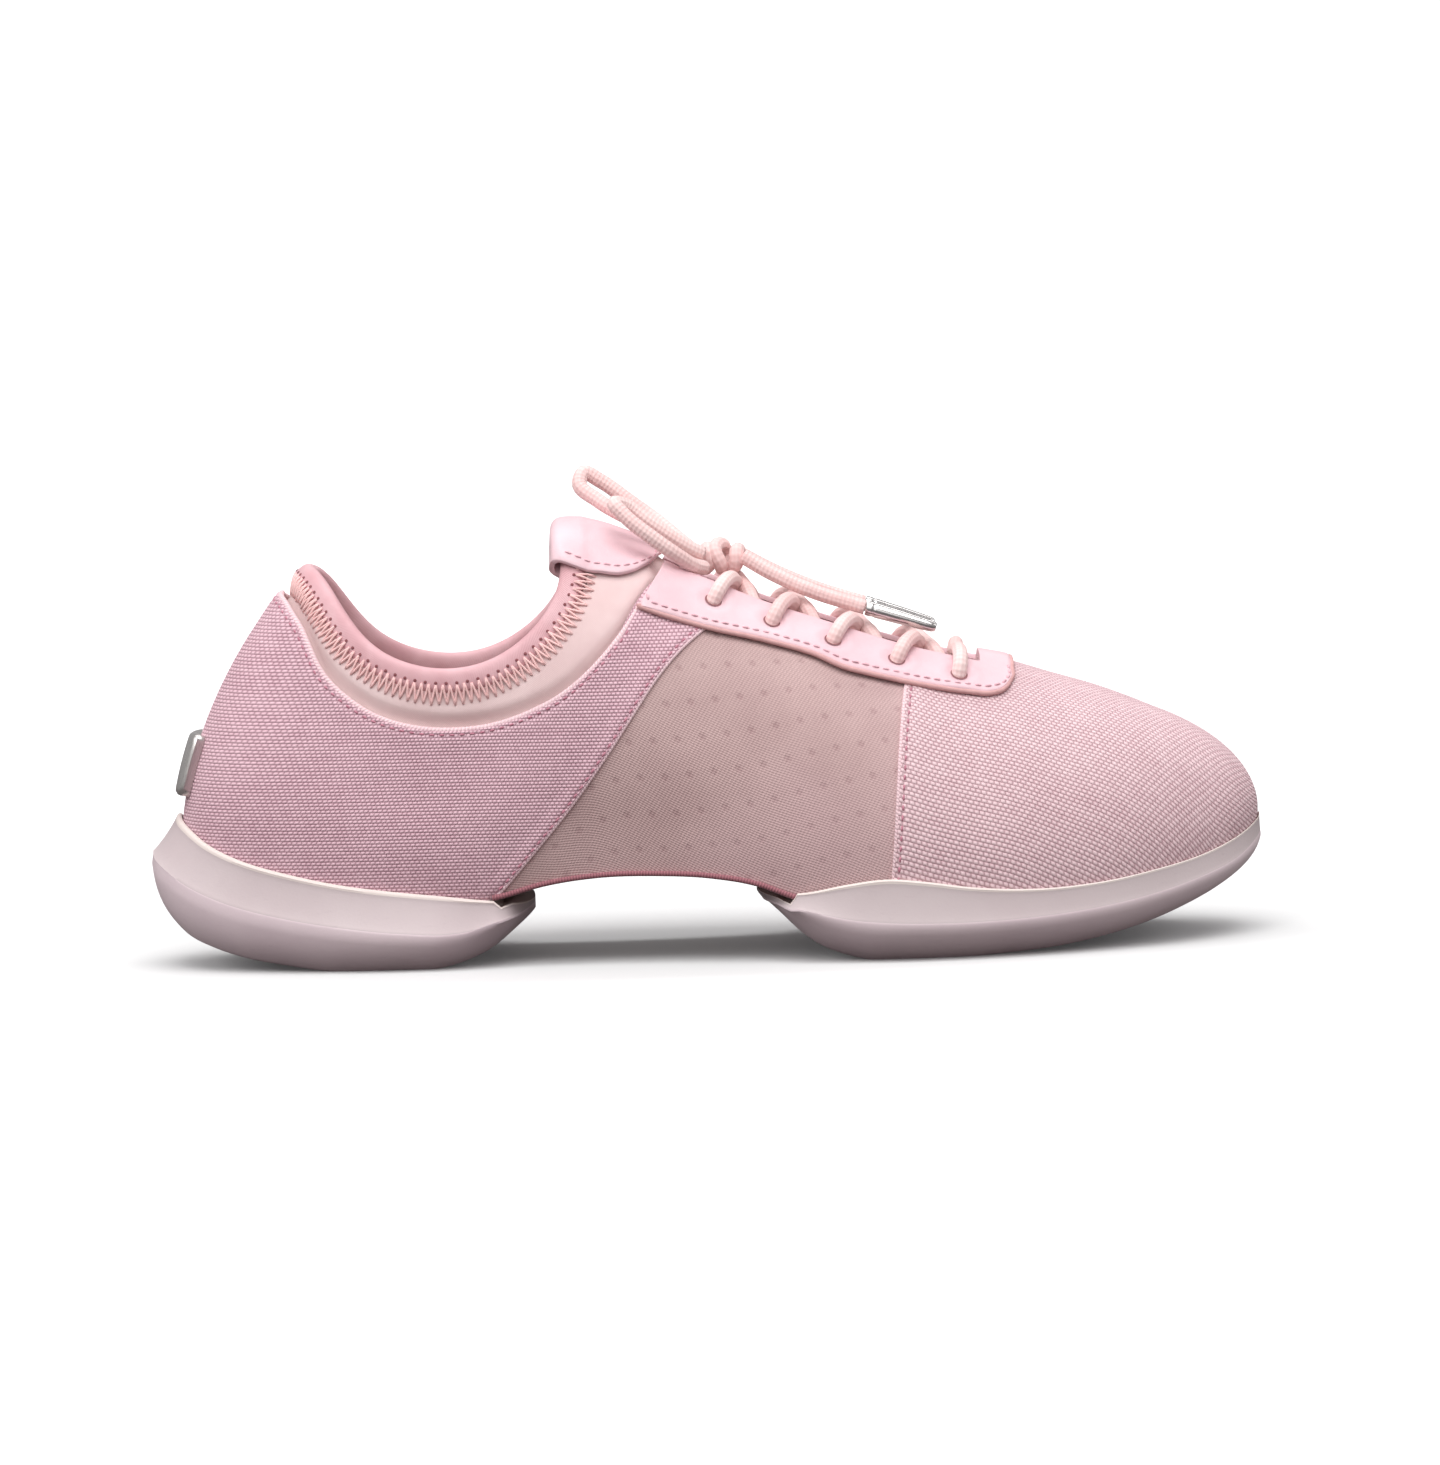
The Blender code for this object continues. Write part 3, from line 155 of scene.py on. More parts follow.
# Free top edge of the outer shell, from the heel to the eyestay's rear end
SHELL_EDGE = [
    # round, height
    (0.00, 0.898), (0.06, 0.872), (0.10, 0.822), (0.15, 0.712), (0.20, 0.640), (0.25, 0.594),
    (0.30, 0.574), (0.35, 0.587), (0.38, 0.618), (0.40, 0.648), (0.43, 0.727), (0.45, 0.805),
    (0.46, 0.855), (0.475, 0.930),
]


class Curve:
    """A smooth curve through rows of (where, value), clamped at its ends or closed after a period."""

    def __init__(self, where, value, period=None):
        where = np.array(where, float)
        value = np.array(value, float)
        if period:
            where = np.concatenate([where[-3:] - period, where, where[:3] + period])
            value = np.concatenate([value[-3:], value, value[:3]])
        self.where, self.value, self.period = where, value, period
        step = np.diff(where)
        rate = np.diff(value) / step
        slope = np.zeros(len(where))
        slope[1:-1] = (rate[:-1] * step[1:] + rate[1:] * step[:-1]) / (step[1:] + step[:-1])
        slope[0], slope[-1] = rate[0], rate[-1]
        self.slope = slope

    def __call__(self, at):
        at = np.asarray(at, float)
        if self.period:
            at = (at + self.period / 2) % self.period - self.period / 2
        else:
            at = np.clip(at, self.where[0], self.where[-1])
        i = np.clip(np.searchsorted(self.where, at, side="right") - 1, 0, len(self.where) - 2)
        span = self.where[i + 1] - self.where[i]
        u = (at - self.where[i]) / span
        start = (1 + 2 * u) * (1 - u) ** 2 * self.value[i] + u * (1 - u) ** 2 * span * self.slope[i]
        end = u * u * (3 - 2 * u) * self.value[i + 1] + u * u * (u - 1) * span * self.slope[i + 1]
        return start + end


def around(rows, outer, inner, sign=1):
    """A closed curve by the way round: minus on the outer side, plus on the inner, toe at both ends."""
    where = [-r[0] for r in rows[::-1]] + [r[0] for r in rows[1:-1]]
    value = [sign * r[outer] for r in rows[::-1]] + [r[inner] for r in rows[1:-1]]
    return Curve(where, value, 2.0)


def along(rows, column=1):
    return Curve([r[0] for r in rows], [r[column] for r in rows])


def round_of(share):
    """The way round (0 to 1) of a share of the way along the last's edge."""
    return math.acos(1 - 2 * share) / math.pi


outline = around([(round_of(a), o, i) for a, o, i in OUTLINE], 1, 2, -1)
mouth_along = around(MOUTH, 1, 1)
mouth_half = around(MOUTH, 2, 2, -1)
mouth_height = around(MOUTH, 3, 3)
swell_out = around(SWELL, 1, 2)
swell_rise = around(SWELL, 3, 3)
swell_reach = around(SWELL, 4, 4)
swell_angle = around(SWELL, 5, 5)
seat_height = along(SEAT)
ridge_height = along(RIDGE, 1)
ridge_lean = along(RIDGE, 2)
shell_edge = along(SHELL_EDGE)


def stack(x, y, z):
    return np.stack(np.broadcast_arrays(x, y, z), -1).astype(float)


def unit(a):
    return a / np.maximum(np.linalg.norm(a, axis=-1, keepdims=True), 1e-12)


def edge_point(t):
    """Point of the last's lower edge at way round t."""
    t = np.asarray(t, float)
    x = HEEL_INSET + (LENGTH - HEEL_INSET - TOE_INSET) * (1 - np.cos(math.pi * t)) / 2
    return stack(x, outline(t) * BALL_WIDTH, seat_height(x / LENGTH) * INSTEP_HEIGHT)


def core_point(t):
    """Point of the middle line that the section at t runs in to, kept inside at heel and toe."""
    t = np.asarray(t, float)
    x = edge_point(t)[..., 0]
    back = 0.018 * np.exp(-(x - HEEL_INSET) / 0.020)
    front = 0.022 * np.exp(-(LENGTH - TOE_INSET - x) / 0.024)
    x = x + back - front
    y = (outline(t) + outline(-t)) * BALL_WIDTH / 2
    return stack(x, y, seat_height(x / LENGTH) * INSTEP_HEIGHT)


def inward(t):
    d = core_point(t) - edge_point(t)
    d[..., 2] = 0
    return unit(d)


def mouth_point(t):
    x = mouth_along(t) * LENGTH
    y = mouth_half(t) * BALL_WIDTH + ridge_lean(x / LENGTH) * BALL_WIDTH
    return stack(x, y, mouth_height(t) * INSTEP_HEIGHT)


def ridge_point(t):
    x = mouth_along(t) * LENGTH
    return stack(x, ridge_lean(x / LENGTH) * BALL_WIDTH, ridge_height(x / LENGTH) * INSTEP_HEIGHT)


def bezier(a, b, c, d, u):
    u = np.asarray(u, float)[..., None]
    return (1 - u) ** 3 * a + 3 * u * (1 - u) ** 2 * b + 3 * u * u * (1 - u) * c + u**3 * d


def lean_of(t):
    """Direction in which the upright curve at t arrives at the mouth line."""
    angle = np.radians(swell_angle(t))[..., None]
    return np.cos(angle) * inward(t) + np.sin(angle) * np.array([0.0, 0.0, 1.0])


def last(t, v):
    """The outer surface: v from 0 at the lower edge to 1 at the mouth line and 2 on the ridge."""
    t, v = np.broadcast_arrays(np.asarray(t, float), np.asarray(v, float))
    up = np.array([0.0, 0.0, 1.0])
    edge, mouth, ridge, d = edge_point(t), mouth_point(t), ridge_point(t), inward(t)
    lean = lean_of(t)
    rise = swell_rise(t)[..., None] * INSTEP_HEIGHT
    low = edge - d * swell_out(t)[..., None] * INSTEP_HEIGHT + up * rise
    high = mouth - lean * swell_reach(t)[..., None] * INSTEP_HEIGHT
    side = bezier(edge, low, high, mouth, np.clip(v, 0, 1))
    run = mouth_point(t + 0.002) - mouth_point(t - 0.002)
    flat = unit(np.cross(lean, run))
    across = stack(0 * t, -np.sign(t), 0 * t)
    go = unit(across - flat * np.sum(across * flat, -1, keepdims=True))
    far = np.linalg.norm(ridge - mouth, axis=-1, keepdims=True) * 0.45
    top = bezier(mouth, mouth + go * far, ridge - across * far, ridge, np.clip(v - 1, 0, 1))
    return np.where((v > 1)[..., None], top, side)


def normal(t, v):
    """Outward direction of the outer surface."""
    t, v = np.broadcast_arrays(np.asarray(t, float), np.asarray(v, float))
    pole = (np.abs(t) > 0.9995) & (v > 0.995)
    t = np.where((np.abs(t) > 0.990) & (v > 0.995) & ~pole, np.sign(t) * 0.990, t)
    h = 0.0015
    low, high = np.clip(v - h, 0, 2), np.clip(v + h, 0, 2)
    low = np.where((v > 1) & (v < 1 + h), 1.0, low)
    high = np.where((v > 1 - h) & (v <= 1), v, high)
    rise = last(t, high) - last(t, low)
    rise = np.where((v > 1.999)[..., None], stack(0 * t, -np.sign(t), 0 * t), rise)
    out = unit(np.cross(rise, last(t + h, v) - last(t - h, v)))
    tip = unit(np.cross(lean_of(t), mouth_point(t + h) - mouth_point(t - h)))
    return np.where(pole[..., None], tip, out)


def off(t, v, out):
    """A point of the outer surface, moved out along its normal."""
    return last(t, v) + normal(t, v) * np.asarray(out, float)[..., None]


def up_to(t, height, top=1.0):
    """How far up the side (v) each section reaches a height."""
    t, height = np.broadcast_arrays(np.asarray(t, float), np.asarray(height, float))
    low, high = np.zeros(t.shape), np.full(t.shape, top)
    for _ in range(26):
        middle = (low + high) / 2
        under = last(t, middle)[..., 2] < height
        low, high = np.where(under, middle, low), np.where(under, high, middle)
    return (low + high) / 2


def bottom(t, w):
    """The underside: w from 0 at the last's edge to 1 on the middle line."""
    w = np.asarray(w, float)[..., None]
    return edge_point(t) * (1 - w) + core_point(t) * w


def width_in(t, distance):
    """The share w of the underside that lies a distance in from the edge."""
    reach = np.linalg.norm((core_point(t) - edge_point(t))[..., :2], axis=-1)
    return np.minimum(distance / reach, 0.85)


def shell_top(t):
    """How far up (v) the shell goes: to its free edge behind the eyestay, else to the throat."""
    s = np.abs(t)
    free = up_to(t, shell_edge(s) * INSTEP_HEIGHT)
    return np.where(s < EYESTAY_REAR, free, 1.0)


# The CAD model stands centred on its box: the insole tells how far it was moved
insole_ways = np.linspace(-1, 1, 57)
insole_edge = bottom(insole_ways, width_in(insole_ways, INSOLE_INSET))
SHIFT = insole_edge.min(axis=0) - np.array(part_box("insole")[0])
SHIFT[2] = 0


# Canvas of the quarter, the vamp and the toe: a plain weave of plump pink yarns that stand up as rows of
# beads, darker in the gaps. The middle panel is a finer twill with faint woven-in dots.
BEAD_ALONG = 0.00120
BEAD_ACROSS = 0.00083


def srgb(red, green, blue):
    """A linear colour from the three numbers of a screen colour."""
    parts = [c / 255 for c in (red, green, blue)]
    return tuple(c / 12.92 if c <= 0.04045 else ((c + 0.055) / 1.055) ** 2.4 for c in parts)


class Wire:
    """A shader socket that Python can do sums with: an expression on wires adds its Math nodes."""

    def __init__(self, paint, socket):
        self.paint = paint
        self.socket = socket

    def reckon(self, operation, *values):
        return self.paint.node("ShaderNodeMath", {"operation": operation}, dict(enumerate(values)))

    def __add__(self, other):
        return self.reckon("ADD", self, other)

    __radd__ = __add__

    def __sub__(self, other):
        return self.reckon("SUBTRACT", self, other)

    def __rsub__(self, other):
        return self.reckon("SUBTRACT", other, self)

    def __mul__(self, other):
        return self.reckon("MULTIPLY", self, other)

    __rmul__ = __mul__

    def __truediv__(self, other):
        return self.reckon("DIVIDE", self, other)

    def __pow__(self, other):
        return self.reckon("POWER", self, other)

    def floor(self):
        return self.reckon("FLOOR", self)

    def part(self):
        return self.reckon("FRACT", self)

    def sine(self):
        return self.reckon("SINE", self)

    def cosine(self):
        return self.reckon("COSINE", self)

    def waves(self, pitch):
        """Even waves between 0 and 1, one to each pitch."""
        return (self * (2 * math.pi / pitch)).sine() * 0.5 + 0.5

    def ramp(self, start, end):
        """0 below start, 1 above end, smooth between."""
        values = {"Value": self, "From Min": start, "From Max": end}
        return self.paint.node("ShaderNodeMapRange", {"interpolation_type": "SMOOTHSTEP"}, values)


class Paint:
    """A material under construction, with its principled shader."""

    def __init__(self, name, **fixed):
        self.material = bpy.data.materials.new(name)
        self.material.use_nodes = True
        self.tree = self.material.node_tree
        self.shader = self.tree.nodes["Principled BSDF"]
        for label, value in fixed.items():
            self.shader.inputs[label.replace("_", " ").title().replace("Ior", "IOR")].default_value = value

    def node(self, kind, settings=None, values=None):
        made = self.tree.nodes.new(kind)
        for label, value in (settings or {}).items():
            setattr(made, label, value)
        for label, value in (values or {}).items():
            socket = made.inputs[label]
            if isinstance(value, Wire):
                self.tree.links.new(value.socket, socket)
            else:
                socket.default_value = value
        return Wire(self, made.outputs[0])

    def axes(self, where):
        """The three numbers of a place, each a wire."""
        split = self.node("ShaderNodeSeparateXYZ", None, {0: where})
        return [Wire(self, socket) for socket in split.socket.node.outputs]

    def cloth_place(self):
        """The two texture distances, in metres along and across the cloth."""
        return self.axes(self.node("ShaderNodeUVMap", {"uv_map": "cloth"}))[:2]

    def body_place(self):
        return Wire(self, self.node("ShaderNodeTexCoord").socket.node.outputs["Object"])

    def noise(self, where, scale, detail=3.0, rough=0.55):
        values = {"Vector": where, "Scale": scale, "Detail": detail, "Roughness": rough}
        return self.node("ShaderNodeTexNoise", None, values)

    def random(self, along, across):
        where = self.node("ShaderNodeCombineXYZ", None, {0: along, 1: across})
        return self.node("ShaderNodeTexWhiteNoise", {"noise_dimensions": "2D"}, {"Vector": where})

    def blend(self, share, one, two):
        """Colour from one to two, by a share or a wire. Three numbers are a screen colour."""
        made = self.tree.nodes.new("ShaderNodeMix")
        made.data_type = "RGBA"
        for number, value in ((0, share), (6, one), (7, two)):
            if isinstance(value, Wire):
                self.tree.links.new(value.socket, made.inputs[number])
            elif number:
                made.inputs[number].default_value = (*srgb(*value), 1) if len(value) == 3 else value
            else:
                made.inputs[number].default_value = value
        return Wire(self, made.outputs[2])

    def set(self, label, wire):
        self.tree.links.new(wire.socket, self.shader.inputs[label])

    def colour(self, share, one, two):
        self.set("Base Color", self.blend(share, one, two))

    def bump(self, height, distance, strength):
        values = {"Height": height, "Distance": distance, "Strength": strength}
        self.set("Normal", self.node("ShaderNodeBump", None, values))


def weave_paint(name, light, dark, along, across):
    tint = (*srgb(255, 226, 232), 1)
    paint = Paint(name, roughness=0.82, sheen_weight=0.35, sheen_roughness=0.45, sheen_tint=tint)
    u, v = paint.cloth_place()
    row = (v / across).floor()
    shift = (row * 0.5).part()
    run = u / along + shift
    x, y = run.part() - 0.5, (v / across).part() - 0.5
    bead = (x * math.pi).cosine() * (y * math.pi).cosine()
    yarn = paint.random(run.floor(), row)
    streak = paint.random(row, row * 0.37)
    broad = paint.noise(paint.body_place(), 38.0, 4.0)
    tone = bead ** 0.55 * 0.72 + yarn * 0.14 + streak * 0.06 + broad * 0.30 - 0.10
    paint.colour(tone.ramp(0.05, 0.95), dark, light)
    paint.bump(bead ** 0.6 + yarn * 0.2, 0.00030, 0.85)
    return paint.material


def twill_paint():
    paint = Paint("twill_mesh", roughness=0.78, sheen_weight=0.3, sheen_roughness=0.5)
    u, v = paint.cloth_place()
    rib = (u * 0.08 + v).waves(0.00052)
    cross = (u * 0.86 - v * 0.50).waves(0.00070)
    a = (u * 0.927 + v * 0.375) / 0.0063
    b = (v * 0.927 - u * 0.375) / 0.0067
    x, y = a.part() - 0.5, b.part() - 0.5
    far = (x * x + y * y * 1.6) ** 0.5
    dot = 1 - far.ramp(0.06, 0.20)
    broad = paint.noise(paint.body_place(), 30.0, 4.0)
    cast = paint.noise(paint.body_place(), 14.0, 2.0)
    tone = rib * 0.24 + cross * 0.14 + broad * 0.60 - dot * 0.15 + 0.05
    cloth = paint.blend(tone.ramp(0.05, 0.85), (158, 123, 124), (208, 178, 175))
    paint.colour(cast.ramp(0.4, 0.7) * 0.35, cloth, (196, 160, 166))
    paint.bump(rib * 0.5 + cross * 0.4 - dot * 0.5, 0.00018, 0.7)
    return paint.material


quarter_canvas = weave_paint("quarter_canvas", (236, 198, 208), (176, 128, 142), BEAD_ALONG, BEAD_ACROSS)
vamp_canvas = weave_paint(
    "vamp_canvas", (238, 209, 213), (190, 147, 155), BEAD_ALONG * 1.06, BEAD_ACROSS * 1.1
)
twill_mesh = twill_paint()


def grain_paint(name, one, two, scale, detail, bump=None, **fixed):
    """A plain material: a fine grain between two colours, with a bump of (height, strength) if it has one."""
    paint = Paint(name, **fixed)
    grain = paint.noise(paint.body_place(), scale, detail)
    paint.colour(grain, one, two)
    if bump:
        paint.bump(grain, *bump)
    return paint.material


lining_look = ((196, 160, 160), (222, 192, 190), 900.0, 2.0, (0.0002, 0.4))
inner_lining = grain_paint("inner_lining", *lining_look, roughness=0.9)


# Upper: one shell in three cloths. Folded, stitched hems run down the quarter's slanting front edge and the
# vamp's rear edge, and along the quarter's free top edge; soft hollows show where the cloth relaxes.
QUARTER_LINE = [(0.00, 0.362), (0.25, 0.410), (0.50, 0.460), (0.75, 0.502), (1.00, 0.541)]
VAMP_LINE = [(0.00, 0.600), (0.50, 0.613), (1.00, 0.628)]
quarter_line = along(QUARTER_LINE)
vamp_line = along(VAMP_LINE)
WALL = 0.0013
SIDE_HEIGHT = 0.074
CANVAS_STEP = 0.0005
FLANGE = 0.0095
THROAT_FRONT = 0.670
CORNER = 0.70
STRAP = 0.4421 / float(quarter_line(CORNER))
MM = 0.0025
FOLD = Curve(
    [0.0, 0.15, 0.4, 0.8, 1.2, 1.6, 2.0, 2.8, 5.0, 8.0],
    [0.02, 0.42, 0.72, 0.86, 0.84, 0.66, 0.80, 0.86, 0.72, 0.50],
)
HEM = Curve([0, 0.3, 0.8, 1.2, 1.6, 2.1, 3.0, 6.0], [-0.45, -0.02, 0.26, 0.22, 0.0, 0.18, 0.22, 0.0])
NEAR_FOLD = [3.4, 2.8, 2.3, 2.0, 1.8, 1.6, 1.4, 1.15, 0.85, 0.6, 0.4, 0.22, 0.1, 0.02]
HOLLOWS = [
    # way round, height share, half length round, half height, depth in mm
    (-0.545, 0.30, 0.040, 0.20, 0.55),
    (-0.470, 0.16, 0.050, 0.10, 0.45),
    (-0.585, 0.62, 0.020, 0.22, 0.35),
    (-0.300, 0.50, 0.060, 0.14, 0.40),
    (-0.665, 0.50, 0.030, 0.25, 0.30),
    (-0.730, 0.72, 0.025, 0.30, 0.25),
    (0.520, 0.34, 0.045, 0.20, 0.55),
    (0.440, 0.20, 0.050, 0.12, 0.45),
    (0.310, 0.52, 0.060, 0.14, 0.40),
    (0.640, 0.55, 0.030, 0.25, 0.35),
]


def smooth(u):
    u = np.clip(u, 0, 1)
    return u * u * (3 - 2 * u)


def relax(t, v):
    """Soft hollows of the worn-in cloth, in metres."""
    depth = np.zeros(np.broadcast(t, v).shape)
    for way, height, wide, tall, deep in HOLLOWS:
        depth = depth - deep * np.exp(-(((t - way) / wide) ** 2) - ((v - height) / tall) ** 2)
    return depth * 0.001


def piece(name, points, faces, paints, slots=None, uvs=None, crisp=None):
    """A mesh object in the CAD frame: paint number per face, texture place per corner of each face."""
    mesh = bpy.data.meshes.new(name)
    mesh.from_pydata([tuple(p) for p in np.asarray(points, float) - SHIFT], [], [list(f) for f in faces])
    for paint in paints:
        mesh.materials.append(paint)
    if slots is not None:
        mesh.polygons.foreach_set("material_index", np.array(slots, np.int32))
    if uvs is not None:
        layer = mesh.uv_layers.new(name="cloth")
        layer.data.foreach_set("uv", np.concatenate([np.asarray(u, float).ravel() for u in uvs]))
    mesh.polygons.foreach_set("use_smooth", np.ones(len(mesh.polygons), bool))
    if crisp:
        mesh.set_sharp_from_angle(angle=math.radians(crisp))
    mesh.validate()
    thing = bpy.data.objects.new(name, mesh)
    bpy.context.collection.objects.link(thing)
    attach(thing, "root")
    return thing


def cells(rows, columns, keep=None):
    """Corner numbers of a grid's cells, wound to face out for rows that climb and ways that grow."""
    found = []
    for r in range(rows - 1):
        for c in range(columns - 1):
            if keep is None or keep(r, c):
                low, high = r * columns + c, (r + 1) * columns + c
                found.append((r, c, [low, high, high + 1, low + 1]))
    return found


def face_out(thing):
    """Turns a closed mesh's faces outwards."""
    mesh = thing.data
    mesh.calc_loop_triangles()
    corner = np.array([v.co for v in mesh.vertices])
    ring = np.array([t.vertices for t in mesh.loop_triangles])
    a, b, c = corner[ring[:, 0]], corner[ring[:, 1]], corner[ring[:, 2]]
    if np.einsum("ij,ij->i", a, np.cross(b, c)).sum() < 0:
        mesh.flip_normals()
    return thing


def sheet(name, outside, inside, paints, keep=None, slot=None, place=None, crisp=None):
    """A walled sheet from an outer and an inner grid: open rims are closed, poles are welded."""
    rows, columns = outside.shape[:2]
    points = np.concatenate([outside.reshape(-1, 3), inside.reshape(-1, 3)])
    half = rows * columns
    seen = {}
    first = [seen.setdefault((i >= half, *np.round(p * 1e6).astype(int)), i) for i, p in enumerate(points)]
    faces, slots, uvs, used = [], [], [], {}
    places = np.zeros((rows, columns, 2)) if place is None else place
    flat = places.reshape(-1, places.shape[-2] if places.ndim == 4 else 1, 2)
    for r, c, corners in cells(rows, columns, keep):
        number = slot(r, c) if slot else 0
        welded = [first[i] for i in corners]
        kept = [k for k in range(4) if welded[k] != welded[k - 1]]
        if len(set(welded[k] for k in kept)) < 3:
            continue
        ring = [welded[k] for k in kept]
        look = flat[[corners[k] for k in kept], min(number, flat.shape[1] - 1)]
        back = [first[corners[k] + half] for k in kept]
        faces += [ring, back[::-1]]
        slots += [number, len(paints) - 1 if len(paints) > 1 and slot else number]
        uvs += [look, look[::-1]]
        for k, (a, b) in enumerate(zip(ring, ring[1:] + ring[:1])):
            n = (k + 1) % len(ring)
            side = (a, b, back[k], back[n], number, look[k], look[n])
            used.setdefault(frozenset((a, b)), []).append(side)
    for pairs in used.values():
        if len(pairs) == 1:
            a, b, c, d, number, p, q = pairs[0]
            if c != d:
                faces.append([b, a, c, d])
                slots.append(number)
                uvs.append(np.array([q, p, p, q]))
    return face_out(piece(name, points, faces, paints, slots, uvs, crisp))


def both_sides(one):
    """The list of one side, with the other side's before it."""
    return [-w for w in one[:0:-1]] + one


def upper_ways(f):
    """Ways round of the columns at a height share, close together at the folds, and each column's cloth."""
    rear, front = float(quarter_line(f)), float(vamp_line(f))
    strap = rear * STRAP
    quarter = [strap * k / 44 for k in range(45)]
    quarter += [strap + (rear - MM * 3.9 - strap) * k / 9 for k in range(1, 10)]
    quarter += [rear - MM * d for d in NEAR_FOLD]
    panel = [rear + MM * 0.1, rear + MM * 0.5]
    panel += [rear + MM + (front - rear - 2 * MM) * k / 22 for k in range(23)]
    panel += [front - MM * 0.5, front - MM * 0.1]
    vamp = [front + MM * d for d in NEAR_FOLD[::-1]]
    start = front + MM * 3.4
    vamp += [start + (THROAT_FRONT - start) * k / 4 for k in (1, 2, 3, 4)]
    toe = [THROAT_FRONT + (1 - THROAT_FRONT) * k / 34 for k in range(1, 35)]
    ways = quarter + panel + vamp + toe
    cloth = [0] * len(quarter) + [1] * len(panel) + [2] * (len(vamp) + len(toe))
    return np.array(both_sides(ways)), np.array(cloth[:0:-1] + cloth)


TOP_ROWS = [0.0, 0.3, 0.7, 1.1, 1.6, 2.1, 2.8, 3.6]
low_rows = [CORNER * k / 24 for k in range(1, 23)]
low_rows = [f for f in low_rows if f < CORNER - 0.065] + [CORNER - d * 0.0145 for d in TOP_ROWS[::-1]]
high_rows = [CORNER + (1 - CORNER) * k / 12 for k in range(1, 13)]
foot, cloth = upper_ways(0)
turn, _ = upper_ways(CORNER)
head, _ = upper_ways(1)
behind = np.abs(turn) < STRAP * float(quarter_line(CORNER)) - 1e-6
reach = np.where(behind, shell_top(turn) / CORNER, 1.0)


def hem(f, ways):
    """Distance in mm from the quarter's free edge."""
    rear = float(quarter_line(f))
    side = (np.abs(ways) - STRAP * rear) / MM * 0.77
    above = max(CORNER - f, 0) * reach * 72
    away = np.where(behind, above, np.hypot(np.maximum(side, 0), above if f < CORNER else 0 * side))
    return np.where(cloth == 0, away, 99)


def cloth_out(f, ways, level):
    """Height of the cloth's outer face over the last."""
    fold_rear = np.where(cloth == 0, (float(quarter_line(min(f, 1))) - np.abs(ways)) / MM, 99)
    fold_front = np.where(cloth == 2, (np.abs(ways) - float(vamp_line(min(f, 1)))) / MM, 99)
    fold = np.minimum(fold_rear, fold_front)
    rise = np.where(cloth == 1, 0.0, FOLD(np.clip(fold, 0, 8)))
    edge = hem(f, ways)
    rise = rise + np.where(edge < 6, HEM(np.clip(edge, 0, 6)), 0)
    return rise * 0.001 * smooth(f / 0.05) + relax(ways, level)


rows_out, rows_in = [], []
lift = np.array([0, 0, WALL])
flange = width_in(foot, FLANGE)
for w in (np.ones(len(foot)), (1 + flange) / 2, flange, flange / 2):
    rows_out.append(bottom(foot, w))
    rows_in.append(rows_out[-1] + lift)
rows_out.append(edge_point(foot))
rows_in.append(edge_point(foot) + inward(foot) * WALL * 1.2 + lift)
for f in low_rows + high_rows:
    ways, _ = upper_ways(f)
    level = np.minimum(f * reach, 1)
    pinch = np.exp(-np.minimum(hem(f, ways), 9) / 0.35) * 0.0004
    rows_out.append(off(ways, level, cloth_out(f, ways, level)))
    rows_in.append(off(ways, level, pinch - WALL + relax(ways, level)))
for v in (1.15, 1.3, 1.45, 1.6, 1.75, 1.9, 2.0):
    rows_out.append(off(head, v, np.where(cloth == 1, 0, CANVAS_STEP)))
    rows_in.append(off(head, v, -WALL))
outside, inside = np.array(rows_out), np.array(rows_in)


def distances(points):
    """Distance along a line of points, from its start to each."""
    return np.concatenate([[0], np.cumsum(np.linalg.norm(np.diff(points, axis=0), axis=1))])


# Texture places: round the heel and up for the quarter; along the shoe and round from the ridge for the rest
edge_steps = np.linspace(-1, 1, 801)
edge_run = distances(edge_point(edge_steps))


def quarter_place(t, p):
    return np.stack([np.interp(t, edge_steps, edge_run), p[..., 2]], -1)


def ridge_place(p):
    x, y, z = p[..., 0], p[..., 1], p[..., 2]
    crown = ridge_height(x / LENGTH) * INSTEP_HEIGHT
    lean = ridge_lean(x / LENGTH) * BALL_WIDTH
    return np.stack([x, np.sign(y - lean) * np.hypot(y - lean, np.maximum(crown - z, 0))], -1)


all_ways = np.array([foot] * 5 + [upper_ways(f)[0] for f in low_rows + high_rows] + [head] * 7)
around_heel = quarter_place(all_ways, outside)
from_ridge = ridge_place(outside)
place = np.stack([around_heel, from_ridge, from_ridge, around_heel], axis=2)
middle = edge_point((foot[:-1] + foot[1:]) / 2)[:, 0]
ahead = np.abs(head[:-1] + head[1:]) / 2 > THROAT_FRONT
free = behind[:-1] | behind[1:]
arch = (middle > 0.332 * LENGTH) & (middle < 0.553 * LENGTH)
lesser, greater = np.minimum(cloth[:-1], cloth[1:]), np.maximum(cloth[:-1], cloth[1:])
cloth_of_cell = np.where(lesser == 0, 0, greater)
corner_row = 5 + len(low_rows) - 1
top_row = corner_row + len(high_rows)


def upper_keep(r, c):
    if r < 2:
        return bool(arch[c])
    return r < corner_row or (r < top_row and not free[c]) or (r >= top_row and bool(ahead[c]))


upper = sheet(
    "upper_shell",
    outside,
    inside,
    [quarter_canvas, twill_mesh, vamp_canvas, inner_lining],
    upper_keep,
    lambda r, c: int(cloth_of_cell[c]),
    place,
    50,
)
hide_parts("upper")


# Sewing thread and the upper's seams: a twisted polyester thread that holds the folded edges. Each seam
# shows as a row of short plump stitches, sunk a little at both ends.
def thread_paint(name, light, dark):
    return grain_paint(name, dark, light, 2600.0, 1.0, (0.0001, 0.5), roughness=0.6, sheen_weight=0.2)


pink_thread = thread_paint("pink_thread", (242, 200, 208), (212, 158, 170))
rose_thread = thread_paint("rose_thread", (208, 142, 158), (172, 104, 124))


